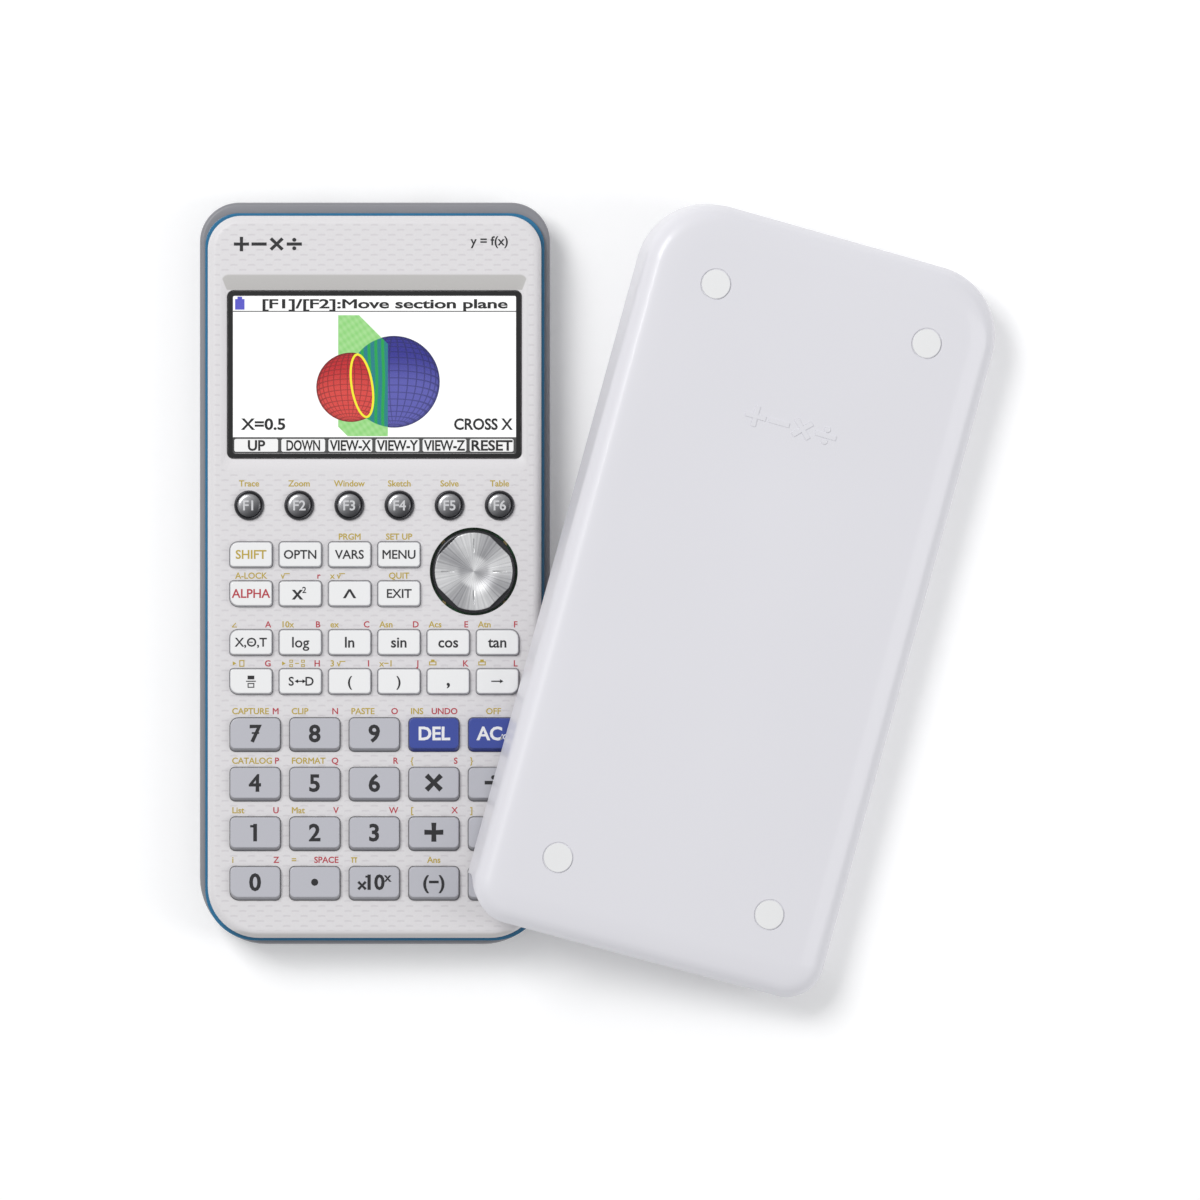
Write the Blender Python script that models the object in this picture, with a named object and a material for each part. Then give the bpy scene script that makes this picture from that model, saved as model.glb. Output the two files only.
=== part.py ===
"""A graphing calculator and its slide-on hard cover, piece by piece, in metres with +Z up.

The calculator lies face up. X runs across it, Y runs along it towards the display, and the
origin is the middle of its flat back. The cover lies hollow side down across its lower right
corner, one rail over the keys and the other on the table.
"""

from itertools import accumulate
from math import asin, cos, pi, radians, sin, tau

import bmesh
import bpy
from mathutils import Matrix, Vector

MM = 0.001

# Overall
BODY_WIDTH = 89.0 * MM
BODY_LENGTH = 188.5 * MM
GAP = 0.3 * MM  # between two pieces that touch
SMALL_GAP = 0.1 * MM  # left at the end of a key's travel
OVERLAP = 0.4 * MM  # how far a rib or boss runs into the wall that it grows from
REACH = 5.0 * MM  # how far a cutter runs past what it cuts

# Rear case
FLOOR = 1.5 * MM
WALL = 1.6 * MM
BACK_INSET = 5.5 * MM
BACK_ROUNDING = 1.2 * MM
RAIL_INSET = 1.5 * MM
RAIL_LOW = 7.8 * MM
RAIL_HEIGHT = 2.4 * MM
REAR_RADIUS_TOP = 10.0 * MM
REAR_RADIUS_BOTTOM = 17.0 * MM

# Side band and front case: how far each lies inside the rail at the sides, the top and the bottom
BAND_HEIGHT = 0.8 * MM
BAND_WIDTH = 2.0 * MM
BAND_INSETS = (1.4 * MM, 2.75 * MM, 0.95 * MM)
FRONT_INSETS = (2.2 * MM, 3.55 * MM, 1.75 * MM)
FRONT_RADIUS_TOP = 8.5 * MM
FRONT_RADIUS_BOTTOM = 13.0 * MM
FACE_THICKNESS = 1.6 * MM
FACE_ROUNDING = 2.3 * MM

# Display
WINDOW_SIDE_MARGIN = 7.35 * MM
WINDOW_TOP_MARGIN = 22.7 * MM
WINDOW_HEIGHT = 42.3 * MM
WINDOW_THICKNESS = 0.8 * MM
WINDOW_RADIUS = 1.0 * MM
WINDOW_BORDER = 1.2 * MM
BEZEL_DEPTH = 1.0 * MM
BEZEL_SLOPES = (1.75 * MM, 4.8 * MM, 3.6 * MM)  # sides, top, bottom
LEDGE = 0.5 * MM
DISPLAY_FRAME = 0.8 * MM
DISPLAY_GLASS = 1.1 * MM
DISPLAY_FRAME_MARGIN = 2.2 * MM

# Batteries: four AAA cells side by side, and the door over them
CELL_COUNT = 4
CELL_DIAMETER = 10.5 * MM
CELL_LENGTH = 44.5 * MM
CELL_SPACING = 0.2 * MM
NUB_RADIUS = 1.9 * MM
NUB_LENGTH = 0.8 * MM
CONTACT_THICKNESS = 0.5 * MM
CONTACT_HEIGHT = 7.0 * MM
DOOR_THICKNESS = 1.1 * MM
DOOR_RECESS = 0.2 * MM
DOOR_SIDE_MARGIN = 3.2 * MM
DOOR_LATCH_MARGIN = 2.3 * MM
DOOR_HINGE_MARGIN = 2.6 * MM
DOOR_RADIUS = 2.0 * MM
BAY_WALL = 1.2 * MM
BAY_CLEARANCE = 0.9 * MM
HOOK_WIDTH = 6.0 * MM
HOOK_HEIGHT = 0.8 * MM
HOOK_REACH = 1.3 * MM
HOOK_SPREAD = 26.0 * MM

# Board, key mat and keys
BOARD_THICKNESS = 1.0 * MM
BOARD_MARGIN = 0.8 * MM
CHIP_SIZE = 14.0 * MM
CHIP_HEIGHT = 1.2 * MM
MAT_BASE = 0.4 * MM
DOME_HEIGHT = 0.3 * MM
DOME_WIDTH = 4.4 * MM
KEY_FLANGE = 0.4 * MM
KEY_LIP = 0.6 * MM
KEY_RISE = 1.4 * MM
KEY_CLEARANCE = 0.3 * MM

# Key rows: the steps between their centres, from the round keys down to the last row
ROUND_ROW_GAP = 8.35 * MM  # from the window down to the round keys' edges
LAST_KEY_MARGIN = 11.35 * MM  # from the last row's lower edges to the end
ROW_STEPS = (12.5, 9.9, 12.35, 9.9, 13.45, 12.57, 12.56, 12.57)
ROUND_MARGIN = 6.4 * MM
FUNCTION_MARGIN = 7.0 * MM
NUMBER_MARGIN = 6.75 * MM
ROUND_DIAMETER = 7.4 * MM
FUNCTION_WEB = (1.6 * MM, 3.25 * MM)
NUMBER_WEB = (2.25 * MM, 3.96 * MM)
FUNCTION_RADIUS = 1.0 * MM
NUMBER_RADIUS = 1.3 * MM
OUTER_RADIUS = 2.2 * MM  # on the corners of the key blocks
KEY_SHOULDER = 0.25 * MM
KEY_FRONT_SLOPE = 0.7 * MM

# Cursor disc
CURSOR_EXTRA = 1.3 * MM  # its diameter over two function rows
CURSOR_WEB = 1.9 * MM  # kept free beside it within two function columns
CURSOR_OFFSET = (0.2 * MM, 0.7 * MM)
CURSOR_CLEARANCE = 0.6 * MM
CURSOR_DISH_RADIUS = 5.4 * MM
CURSOR_DISH_DEPTH = 0.7 * MM
PIVOT_RADIUS = 2.5 * MM
PIVOT_CLEARANCE = 0.7 * MM
PIVOT_HEIGHT = 1.8 * MM

# Screw bosses, restart button and connectors
BOSS_SIDE_MARGIN = 10.6 * MM
BOSS_TOP_MARGIN = 10.75 * MM
BOSS_BOTTOM_MARGIN = 7.75 * MM
BOSS_RADIUS = 2.8 * MM
FRONT_BOSS_RADIUS = 1.8 * MM
SCREW_HEAD_RADIUS = 2.2 * MM
SCREW_HEAD_DEPTH = 1.0 * MM
SCREW_HOLE_RADIUS = 1.1 * MM
PILOT_RADIUS = 0.8 * MM
PILOT_DEPTH = 3.0 * MM
RESTART_PLACE = (18.0 * MM, -55.0 * MM)
RESTART_RADIUS = 1.2 * MM
RESTART_COLLAR = 2.2 * MM
RESTART_RECESS = 0.4 * MM
RESTART_TRAVEL = 0.6 * MM
PORT_BOARD_WIDTH = 40.0 * MM
PORT_BOARD_THICKNESS = 1.0 * MM
PORT_BOARD_HEIGHT = 2.2 * MM
PORT_SPREAD = 26.0 * MM
USB_SIZE = (7.7 * MM, 3.9 * MM)
JACK_SIZE = (6.4 * MM, 4.2 * MM)
PORT_SETBACK = 1.2 * MM

# Slide-on cover
COVER_END_EXTRA = 1.5 * MM  # its length over the calculator's
COVER_WALL = 2.0 * MM
COVER_PLATE = 1.8 * MM
COVER_SIDE_CLEARANCE = 0.3 * MM
COVER_DEPTH_CLEARANCE = 0.2 * MM
COVER_LIP = 1.2 * MM
COVER_LIP_THICKNESS = 1.4 * MM
COVER_ROUNDING = 4.5 * MM
COVER_CHAMFER = 1.5 * MM
COVER_RADIUS_CLOSED = 18.0 * MM
COVER_RADIUS_OPEN = 10.0 * MM
COVER_REST_GAP = 0.5 * MM  # between its upper rail and the keys that it lies over
COVER_YAW = radians(-15.4)
COVER_SHIFT = (2.0 * MM, -6.8 * MM)  # from lying side by side with the calculator

# Heights, from the back up
door_low = DOOR_RECESS
door_high = door_low + DOOR_THICKNESS
cell_low = door_high + GAP
cell_high = cell_low + CELL_DIAMETER
display_low = cell_high + GAP
display_high = display_low + DISPLAY_FRAME + DISPLAY_GLASS
ledge_low = display_high + GAP
ledge_high = ledge_low + LEDGE
window_low = ledge_high + GAP
window_high = window_low + WINDOW_THICKNESS
face = window_high + BEZEL_DEPTH
face_under = face - FACE_THICKNESS
flange_high = face_under - GAP
flange_low = flange_high - KEY_FLANGE
mat_high = flange_low - GAP
mat_low = mat_high - DOME_HEIGHT - MAT_BASE
board_high = mat_low - GAP
board_low = board_high - BOARD_THICKNESS
key_top = face + KEY_RISE
key_travel = flange_low - board_high - SMALL_GAP
rail_high = RAIL_LOW + RAIL_HEIGHT
band_low = rail_high + GAP
band_high = band_low + BAND_HEIGHT
front_low = band_high + GAP

# Places on the face
half_width = BODY_WIDTH / 2
half_length = BODY_LENGTH / 2
window_width = BODY_WIDTH - 2 * WINDOW_SIDE_MARGIN
window_y = half_length - WINDOW_TOP_MARGIN - WINDOW_HEIGHT / 2
round_row = window_y - WINDOW_HEIGHT / 2 - ROUND_ROW_GAP - ROUND_DIAMETER / 2
keys_span = round_row + half_length - LAST_KEY_MARGIN + NUMBER_WEB[1] / 2
row_scale = keys_span / (sum(ROW_STEPS) + ROW_STEPS[6] / 2)
rows = [round_row - drop * row_scale for drop in accumulate(ROW_STEPS, initial=0)]
round_pitch = (BODY_WIDTH - 2 * ROUND_MARGIN) / 6
function_pitch = (BODY_WIDTH - 2 * FUNCTION_MARGIN) / 6
number_pitch = (BODY_WIDTH - 2 * NUMBER_MARGIN) / 5
function_size = (function_pitch - FUNCTION_WEB[0], rows[1] - rows[2] - FUNCTION_WEB[1])
number_size = (number_pitch - NUMBER_WEB[0], rows[6] - rows[7] - NUMBER_WEB[1])
cursor_radius = min(rows[1] - rows[2] + CURSOR_EXTRA / 2, function_pitch - CURSOR_WEB)
cursor_x = 2 * function_pitch + CURSOR_OFFSET[0]
cursor_y = (rows[1] + rows[2]) / 2 + CURSOR_OFFSET[1]
pivot_height = flange_low - SMALL_GAP

# Screw bosses: the second pair stands between round keys, just above the cursor disc
boss_x = half_width - BOSS_SIDE_MARGIN
disc_top = cursor_y + cursor_radius + CURSOR_CLEARANCE
boss_pairs = (
    (boss_x, half_length - BOSS_TOP_MARGIN),
    (2 * round_pitch, disc_top + FRONT_BOSS_RADIUS + GAP),
    (boss_x, (rows[4] + rows[5]) / 2),
    (boss_x, -half_length + BOSS_BOTTOM_MARGIN),
)
bosses = [(side * x, y) for x, y in boss_pairs for side in (-1, 1)]

# The battery bay, centred behind the display
cell_pitch = CELL_DIAMETER + CELL_SPACING
cells_half = CELL_COUNT * cell_pitch / 2
contact_end = CELL_LENGTH / 2 + NUB_LENGTH + CONTACT_THICKNESS
door_half = cells_half + DOOR_SIDE_MARGIN
latch_y = window_y - contact_end - DOOR_LATCH_MARGIN
hinge_y = window_y + contact_end + DOOR_HINGE_MARGIN
door = (-door_half, latch_y, door_half, hinge_y)
bay_side = BAY_CLEARANCE + BAY_WALL
bay_low_y = latch_y - bay_side
bay_high_y = hinge_y + bay_side + HOOK_REACH
port_low = PORT_BOARD_HEIGHT + PORT_BOARD_THICKNESS

# The cover's own sizes, set by what it slides over
cover_half = half_width + COVER_SIDE_CLEARANCE + COVER_WALL
cover_length = BODY_LENGTH + COVER_END_EXTRA
cover_hollow = key_top - RAIL_LOW + COVER_DEPTH_CLEARANCE
cover_depth = COVER_PLATE + cover_hollow + COVER_LIP_THICKNESS
rail_span = 2 * cover_half - COVER_WALL - COVER_LIP
cover_tilt = asin((key_top + COVER_REST_GAP) / rail_span)
cover_height = cover_half * sin(cover_tilt) + cover_depth * cos(cover_tilt) + GAP * 0.1


def clear_scene():
    for old in list(bpy.data.objects):
        bpy.data.objects.remove(old, do_unlink=True)


def material(name, colour, roughness, metallic=0.0, alpha=1.0):
    made = bpy.data.materials.new(name)
    made.use_nodes = True
    made.diffuse_color = (*colour, alpha)
    shader = made.node_tree.nodes["Principled BSDF"]
    shader.inputs["Base Color"].default_value = (*colour, 1.0)
    shader.inputs["Roughness"].default_value = roughness
    shader.inputs["Metallic"].default_value = metallic
    shader.inputs["Alpha"].default_value = alpha
    return made


def box_corners(centre, size):
    """(x low, y low, x high, y high) of a rectangle."""
    return (
        centre[0] - size[0] / 2,
        centre[1] - size[1] / 2,
        centre[0] + size[0] / 2,
        centre[1] + size[1] / 2,
    )


def inset_corners(corners, side, top, bottom):
    """The same rectangle with its sides, top and bottom moved in."""
    return corners[0] + side, corners[1] + bottom, corners[2] - side, corners[3] - top


def rounded(corners, radii, z, steps):
    """One ring of a rectangle; radii go bottom left, bottom right, top right, top left."""
    x_low, y_low, x_high, y_high = corners
    signs = ((-1, -1), (1, -1), (1, 1), (-1, 1))
    ring = []
    for turn, (radius, (sx, sy)) in enumerate(zip(radii, signs)):
        centre_x = (x_high if sx > 0 else x_low) - sx * radius
        centre_y = (y_high if sy > 0 else y_low) - sy * radius
        for step in range(steps + 1):
            angle = pi + (turn + step / steps) * pi / 2
            ring.append((centre_x + radius * cos(angle), centre_y + radius * sin(angle), z))
    return ring


def circle(centre, radius, z, sides):
    return [
        (centre[0] + radius * cos(tau * k / sides), centre[1] + radius * sin(tau * k / sides), z)
        for k in range(sides)
    ]


def add_loft(bm, rings, closed=False):
    """Rings of equal counts joined by walls, with an end cap on the first and the last."""
    loops = [[bm.verts.new(point) for point in ring] for ring in rings]
    pairs = list(zip(loops, loops[1:]))
    if closed:
        pairs.append((loops[-1], loops[0]))
    for low, high in pairs:
        for k in range(len(low)):
            after = (k + 1) % len(low)
            bm.faces.new((low[k], low[after], high[after], high[k]))
    if not closed:
        bm.faces.new(loops[0])
        bm.faces.new(loops[-1])


def finish_mesh(bm, name, smooth=False):
    bmesh.ops.recalc_face_normals(bm, faces=bm.faces)
    mesh = bpy.data.meshes.new(name)
    bm.to_mesh(mesh)
    bm.free()
    if smooth:
        mesh.shade_smooth()
        mesh.set_sharp_from_angle(angle=radians(35))
    return mesh


def loft_mesh(name, *stacks, closed=False, smooth=False):
    """Each stack of rings becomes one closed body of the mesh."""
    bm = bmesh.new()
    for rings in stacks:
        add_loft(bm, rings, closed)
    return finish_mesh(bm, name, smooth)


def add_object(name, mesh, finish=None, location=(0, 0, 0)):
    made = bpy.data.objects.new(name, mesh)
    bpy.context.scene.collection.objects.link(made)
    made.location = location
    if finish and not mesh.materials:
        mesh.materials.append(finish)
    return made


def shift_origin(made, origin):
    """Moves an object's origin and leaves its solid where it is."""
    made.data.transform(Matrix.Translation(-Vector(origin)))
    made.location = origin


def helper(name, mesh, parent=None):
    made = add_object(name, mesh)
    made.hide_render = True
    made.display_type = "WIRE"
    made.parent = parent
    return made


def combine(made, other, operation):
    step = made.modifiers.new(other.name, "BOOLEAN")
    step.operation = operation
    step.solver = "EXACT"
    step.object = other


def block(corners, low, high):
    """The rings of a plain box."""
    x_low, y_low, x_high, y_high = corners
    flat = ((x_low, y_low), (x_high, y_low), (x_high, y_high), (x_low, y_high))
    return [[(x, y, z) for x, y in flat] for z in (low, high)]


def post(centre, radius, low, high, sides=12):
    return [circle(centre, radius, z, sides) for z in (low, high)]


def body_corners(side, top, bottom):
    return inset_corners(box_corners((0, 0), (BODY_WIDTH, BODY_LENGTH)), side, top, bottom)


def rear_ring(inset, z):
    bottom = max(REAR_RADIUS_BOTTOM - inset, WALL)
    top = max(REAR_RADIUS_TOP - inset, WALL)
    return rounded(body_corners(inset, inset, inset), (bottom, bottom, top, top), z, 5)


def front_ring(insets, inset, z):
    """A ring of the band or the front case, inset further than its own outline."""
    bottom = max(FRONT_RADIUS_BOTTOM - inset, WALL)
    top = max(FRONT_RADIUS_TOP - inset, WALL)
    corners = body_corners(*(own + inset for own in insets))
    return rounded(corners, (bottom, bottom, top, top), z, 5)


def taper_inset(z):
    """How far the rear case's side lies inside the rail at a height."""
    share = (z - BACK_ROUNDING) / (RAIL_LOW - BACK_ROUNDING)
    foot = BACK_INSET - BACK_ROUNDING
    return foot + (RAIL_INSET - foot) * share


def make_rear_case(finish):
    rings = [
        rear_ring(BACK_INSET, 0),
        rear_ring(taper_inset(BACK_ROUNDING), BACK_ROUNDING),
        rear_ring(RAIL_INSET, RAIL_LOW),
        rear_ring(0, RAIL_LOW),
        rear_ring(0, rail_high),
        rear_ring(RAIL_INSET + WALL, rail_high),
        rear_ring(RAIL_INSET + WALL, RAIL_LOW),
        rear_ring(taper_inset(FLOOR) + WALL, FLOOR),
    ]
    case = add_object("rear_case", loft_mesh("rear_case", rings), finish)
    low, high = FLOOR - OVERLAP, band_low - GAP + OVERLAP
    posts = [post(place, BOSS_RADIUS, low, high) for place in bosses]
    combine(case, helper("rear_bosses", loft_mesh("rear_bosses", *posts)), "UNION")

    outer = (-door_half - bay_side, bay_low_y, door_half + bay_side, bay_high_y)
    inner = inset_corners(outer, BAY_WALL, BAY_WALL, BAY_WALL)
    top = cell_high - GAP
    frame = [
        block(outer, low, top)[0],
        block(outer, low, top)[1],
        block(inner, low, top)[1],
        block(inner, low, top)[0],
    ]
    bay = loft_mesh("battery_bay", frame, closed=True)
    combine(case, helper("battery_bay", bay), "UNION")

    holes = [
        [
            circle(place, SCREW_HEAD_RADIUS, -REACH, 12),
            circle(place, SCREW_HEAD_RADIUS, SCREW_HEAD_DEPTH, 12),
            circle(place, SCREW_HOLE_RADIUS, SCREW_HEAD_DEPTH, 12),
            circle(place, SCREW_HOLE_RADIUS, high + REACH, 12),
        ]
        for place in bosses
    ]
    holes.append(post(RESTART_PLACE, RESTART_RADIUS + KEY_CLEARANCE, -REACH, FLOOR + OVERLAP))
    doorway = inset_corners(door, -GAP, -GAP, -GAP)
    radii = (DOOR_RADIUS,) * 4
    holes.append([rounded(doorway, radii, z, 2) for z in (-REACH, FLOOR + OVERLAP)])
    for x, size in ((-PORT_SPREAD / 2, USB_SIZE), (PORT_SPREAD / 2, JACK_SIZE)):
        corners = (
            x - size[0] / 2 - GAP,
            half_length - BACK_INSET - WALL - REACH,
            x + size[0] / 2 + GAP,
            half_length + REACH,
        )
        holes.append(block(corners, port_low - OVERLAP - GAP, port_low + size[1] + GAP))
    combine(case, helper("rear_holes", loft_mesh("rear_holes", *holes)), "DIFFERENCE")


def make_side_band(finish):
    inner = [
        front_ring(BAND_INSETS, BAND_WIDTH, z)
        for z in (band_high, band_low)
    ]
    outer = [front_ring(BAND_INSETS, 0, z) for z in (band_low, band_high)]
    add_object("side_band", loft_mesh("side_band", outer + inner, closed=True), finish)


def key_outline(size, radii, grow, z, shift=0.0, steps=2):
    """A key's ring about its own centre; shift moves its lower edge up."""
    corners = inset_corners(box_corners((0, 0), size), -grow, -grow, -grow + shift)
    return rounded(corners, [radius + grow for radius in radii], z, steps)


def make_front_case(finish, key_places):
    rounding = [
        front_ring(
            FRONT_INSETS,
            FACE_ROUNDING * (1 - cos(pi / 2 * k / 3)),
            face - FACE_ROUNDING * (1 - sin(pi / 2 * k / 3)),
        )
        for k in range(4)
    ]
    rings = [front_ring(FRONT_INSETS, 0, front_low), *rounding]
    case = add_object("front_case", loft_mesh("front_case", rings), finish)

    hollow_low = front_low - REACH
    hollow = [
        front_ring(FRONT_INSETS, WALL, hollow_low),
        front_ring(FRONT_INSETS, WALL, ledge_low),
    ]
    combine(case, helper("hollow", loft_mesh("hollow", hollow)), "DIFFERENCE")
    inner = body_corners(*(own + WALL + SMALL_GAP for own in FRONT_INSETS))
    low_end = (inner[0], inner[1], inner[2], bay_low_y - GAP)
    bottom = (FRONT_RADIUS_BOTTOM - WALL,) * 2
    square = (WALL,) * 2
    lower = [rounded(low_end, bottom + square, z, 4) for z in (ledge_low - OVERLAP, face_under)]
    combine(case, helper("key_space", loft_mesh("key_space", lower)), "DIFFERENCE")

    boss_low = band_high + GAP
    posts = [
        post(place, FRONT_BOSS_RADIUS, boss_low, face_under + OVERLAP) for place in bosses
    ]
    combine(case, helper("front_bosses", loft_mesh("front_bosses", *posts)), "UNION")

    cutters = [post(place, PILOT_RADIUS, boss_low - REACH, boss_low + PILOT_DEPTH, 8)
               for place in bosses]
    for x, y, size, radii in key_places:
        ring_low = key_outline(size, radii, KEY_CLEARANCE, face_under - OVERLAP)
        ring_high = key_outline(size, radii, KEY_CLEARANCE, face + REACH)
        cutters.append([[(px + x, py + y, pz) for px, py, pz in ring]
                        for ring in (ring_low, ring_high)])
    for k in range(6):
        place = ((k - 2.5) * round_pitch, round_row)
        radius = ROUND_DIAMETER / 2 + KEY_CLEARANCE
        cutters.append(post(place, radius, face_under - OVERLAP, face + REACH, 16))
    hole = cursor_radius + CURSOR_CLEARANCE
    cutters.append(post((cursor_x, cursor_y), hole, face_under - OVERLAP, face + REACH, 24))
    combine(case, helper("face_holes", loft_mesh("face_holes", *cutters)), "DIFFERENCE")

    window = box_corners((0, window_y), (window_width, WINDOW_HEIGHT))
    seat = inset_corners(window, -GAP, -GAP, -GAP)
    side, top, bottom = BEZEL_SLOPES
    rim = inset_corners(window, -side, -top, -bottom)
    view = inset_corners(window, WINDOW_BORDER, WINDOW_BORDER, WINDOW_BORDER)
    radii = (WINDOW_RADIUS,) * 4
    opening = [
        rounded(view, radii, ledge_low - OVERLAP, 2),
        rounded(view, radii, ledge_high, 2),
        rounded(seat, radii, ledge_high, 2),
        rounded(seat, radii, window_high, 2),
        rounded(rim, (side,) * 4, face, 2),
        rounded(rim, (side,) * 4, face + REACH, 2),
    ]
    combine(case, helper("window_seat", loft_mesh("window_seat", opening)), "DIFFERENCE")


def make_window(finish):
    corners = box_corners((0, window_y), (window_width, WINDOW_HEIGHT))
    radii = (WINDOW_RADIUS,) * 4
    rings = [rounded(corners, radii, z, 2) for z in (window_low, window_high)]
    add_object("display_window", loft_mesh("display_window", rings), finish)


def make_display(finish):
    glass = box_corners((0, window_y), (window_width, WINDOW_HEIGHT))
    edge = DISPLAY_FRAME_MARGIN
    frame = inset_corners(glass, -edge, -edge, -edge)
    step = display_low + DISPLAY_FRAME
    rings = [
        block(frame, display_low, step)[0],
        block(frame, display_low, step)[1],
        block(glass, step, display_high)[0],
        block(glass, step, display_high)[1],
    ]
    add_object("display_module", loft_mesh("display_module", rings), finish)


def make_batteries(finish):
    """Four cells in series: neighbours point opposite ways and share a contact plate."""
    centre_z = cell_low + CELL_DIAMETER / 2
    cells = []
    for k in range(CELL_COUNT):
        x = (k - (CELL_COUNT - 1) / 2) * cell_pitch
        way = 1 if k % 2 else -1
        profile = (
            (CELL_DIAMETER / 2, -CELL_LENGTH / 2),
            (CELL_DIAMETER / 2, CELL_LENGTH / 2),
            (NUB_RADIUS, CELL_LENGTH / 2),
            (NUB_RADIUS, CELL_LENGTH / 2 + NUB_LENGTH),
        )
        rings = [
            [(x + u, window_y + way * along, centre_z + v) for u, v, _ in circle((0, 0), r, 0, 14)]
            for r, along in profile
        ]
        cells.append(loft_mesh(f"cell_{k + 1}", rings, smooth=True))
    pack = add_object("batteries", cells[0], finish)
    for k, cell in enumerate(cells[1:], 2):
        combine(pack, helper(f"cell_{k}", cell), "UNION")
    plates = []
    for k in range(CELL_COUNT - 1):
        end = -1 if k % 2 else 1
        middle = (k + 1 - CELL_COUNT / 2) * cell_pitch
        near = window_y + end * (CELL_LENGTH / 2 - CONTACT_THICKNESS / 2)
        far = window_y + end * contact_end
        reach = cell_pitch * 0.8
        corners = (middle - reach, min(near, far), middle + reach, max(near, far))
        plates.append(block(corners, centre_z - CONTACT_HEIGHT / 2, centre_z + CONTACT_HEIGHT / 2))
    combine(pack, helper("contacts", loft_mesh("contacts", *plates)), "UNION")


def make_battery_cover(finish):
    """The door turns about its upper edge, at the outer face, where two hooks hold it."""
    rings = [rounded(door, (DOOR_RADIUS,) * 4, z, 2) for z in (door_low, door_high)]
    cover = add_object("battery_cover", loft_mesh("battery_cover", rings), finish)
    hook_low = FLOOR + GAP
    hook_high = hook_low + HOOK_HEIGHT
    back, front, tip = hinge_y - 2 * HOOK_REACH, hinge_y - GAP, hinge_y + HOOK_REACH
    foot = door_high - OVERLAP
    profile = (
        (back, foot),
        (front, foot),
        (front, hook_low),
        (tip, hook_low),
        (tip, hook_high),
        (back, hook_high),
    )
    hooks = []
    for side in (-1, 1):
        ends = (side * HOOK_SPREAD / 2 + half for half in (-HOOK_WIDTH / 2, HOOK_WIDTH / 2))
        hooks.append([[(x, y, z) for y, z in profile] for x in ends])
    hook_object = helper("door_hooks", loft_mesh("door_hooks", *hooks), parent=cover)
    combine(cover, hook_object, "UNION")
    hinge = (0, hinge_y, door_low)
    shift_origin(cover, hinge)
    hook_object.data.transform(Matrix.Translation(-Vector(hinge)))


def make_board(finish):
    edge = WALL + BOARD_MARGIN
    corners = body_corners(*(own + edge for own in FRONT_INSETS))
    corners = (*corners[:3], bay_low_y - GAP)
    bottom = FRONT_RADIUS_BOTTOM - edge
    radii = (bottom, bottom, WALL, WALL)
    rings = [rounded(corners, radii, z, 3) for z in (board_low, board_high)]
    board = add_object("circuit_board", loft_mesh("circuit_board", rings), finish)
    chip_corners = box_corners((0, rows[3]), (CHIP_SIZE, CHIP_SIZE))
    chip = block(chip_corners, board_low - CHIP_HEIGHT, board_low + OVERLAP)
    combine(board, helper("processor", loft_mesh("processor", chip)), "UNION")
    holes = [
        post(place, FRONT_BOSS_RADIUS + GAP, board_low - REACH, board_high + REACH, 10)
        for place in bosses[2:]
    ]
    combine(board, helper("board_holes", loft_mesh("board_holes", *holes)), "DIFFERENCE")


def make_mat(finish, key_places):
    edge = WALL + BOARD_MARGIN
    corners = body_corners(*(own + edge for own in FRONT_INSETS))
    corners = (*corners[:3], bay_low_y - GAP)
    bottom = FRONT_RADIUS_BOTTOM - edge
    radii = (bottom, bottom, WALL, WALL)
    top = mat_low + MAT_BASE
    rings = [rounded(corners, radii, z, 3) for z in (mat_low, top)]
    mat = add_object("key_mat", loft_mesh("key_mat", rings), finish)
    holes = [
        post(place, FRONT_BOSS_RADIUS + GAP, mat_low - REACH, mat_high + REACH, 10)
        for place in bosses[2:]
    ]
    holes.append(
        post((cursor_x, cursor_y), PIVOT_RADIUS + PIVOT_CLEARANCE, mat_low - REACH, mat_high + REACH)
    )
    combine(mat, helper("mat_holes", loft_mesh("mat_holes", *holes)), "DIFFERENCE")
    centres = [(x, y) for x, y, _, _ in key_places]
    centres += [((k - 2.5) * round_pitch, round_row) for k in range(6)]
    half = DOME_WIDTH / 2
    domes = []
    for x, y in centres:
        wide = block(box_corners((x, y), (DOME_WIDTH, DOME_WIDTH)), top - MAT_BASE / 2, mat_high)
        narrow = block(box_corners((x, y), (half, half)), top, mat_high)
        domes.append([wide[0], narrow[1]])
    combine(mat, helper("domes", loft_mesh("domes", *domes)), "UNION")


def key_mesh(name, size, radii):
    """A flanged key about its own centre, its height counted from the face of the case."""
    low, mid, top = flange_low - face, flange_high - face, KEY_RISE
    rings = [
        key_outline(size, radii, KEY_LIP, low),
        key_outline(size, radii, KEY_LIP, mid),
        key_outline(size, radii, 0, mid),
        key_outline(size, radii, 0, KEY_RISE / 4),
        key_outline(size, radii, -KEY_SHOULDER, top, KEY_FRONT_SLOPE),
    ]
    return loft_mesh(name, rings)


def round_key_mesh():
    low, mid = flange_low - face, flange_high - face
    radius = ROUND_DIAMETER / 2
    profile = (
        (radius + KEY_LIP, low),
        (radius + KEY_LIP, mid),
        (radius, mid),
        (radius, KEY_RISE * 0.45),
        (radius * 0.86, KEY_RISE * 0.85),
        (radius * 0.5, KEY_RISE),
    )
    rings = [circle((0, 0), r, z, 16) for r, z in profile]
    return loft_mesh("round_key", rings, smooth=True)


def block_radii(kind, column, last, row_above, row_below):
    """A key's corner radii: larger where it is a corner of its block of keys."""
    small = FUNCTION_RADIUS if kind == "function" else NUMBER_RADIUS
    large = OUTER_RADIUS
    left, right = column == 0, column == last
    return (
        large if left and row_below else small,
        large if right and row_below else small,
        large if right and row_above else small,
        large if left and row_above else small,
    )


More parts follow.
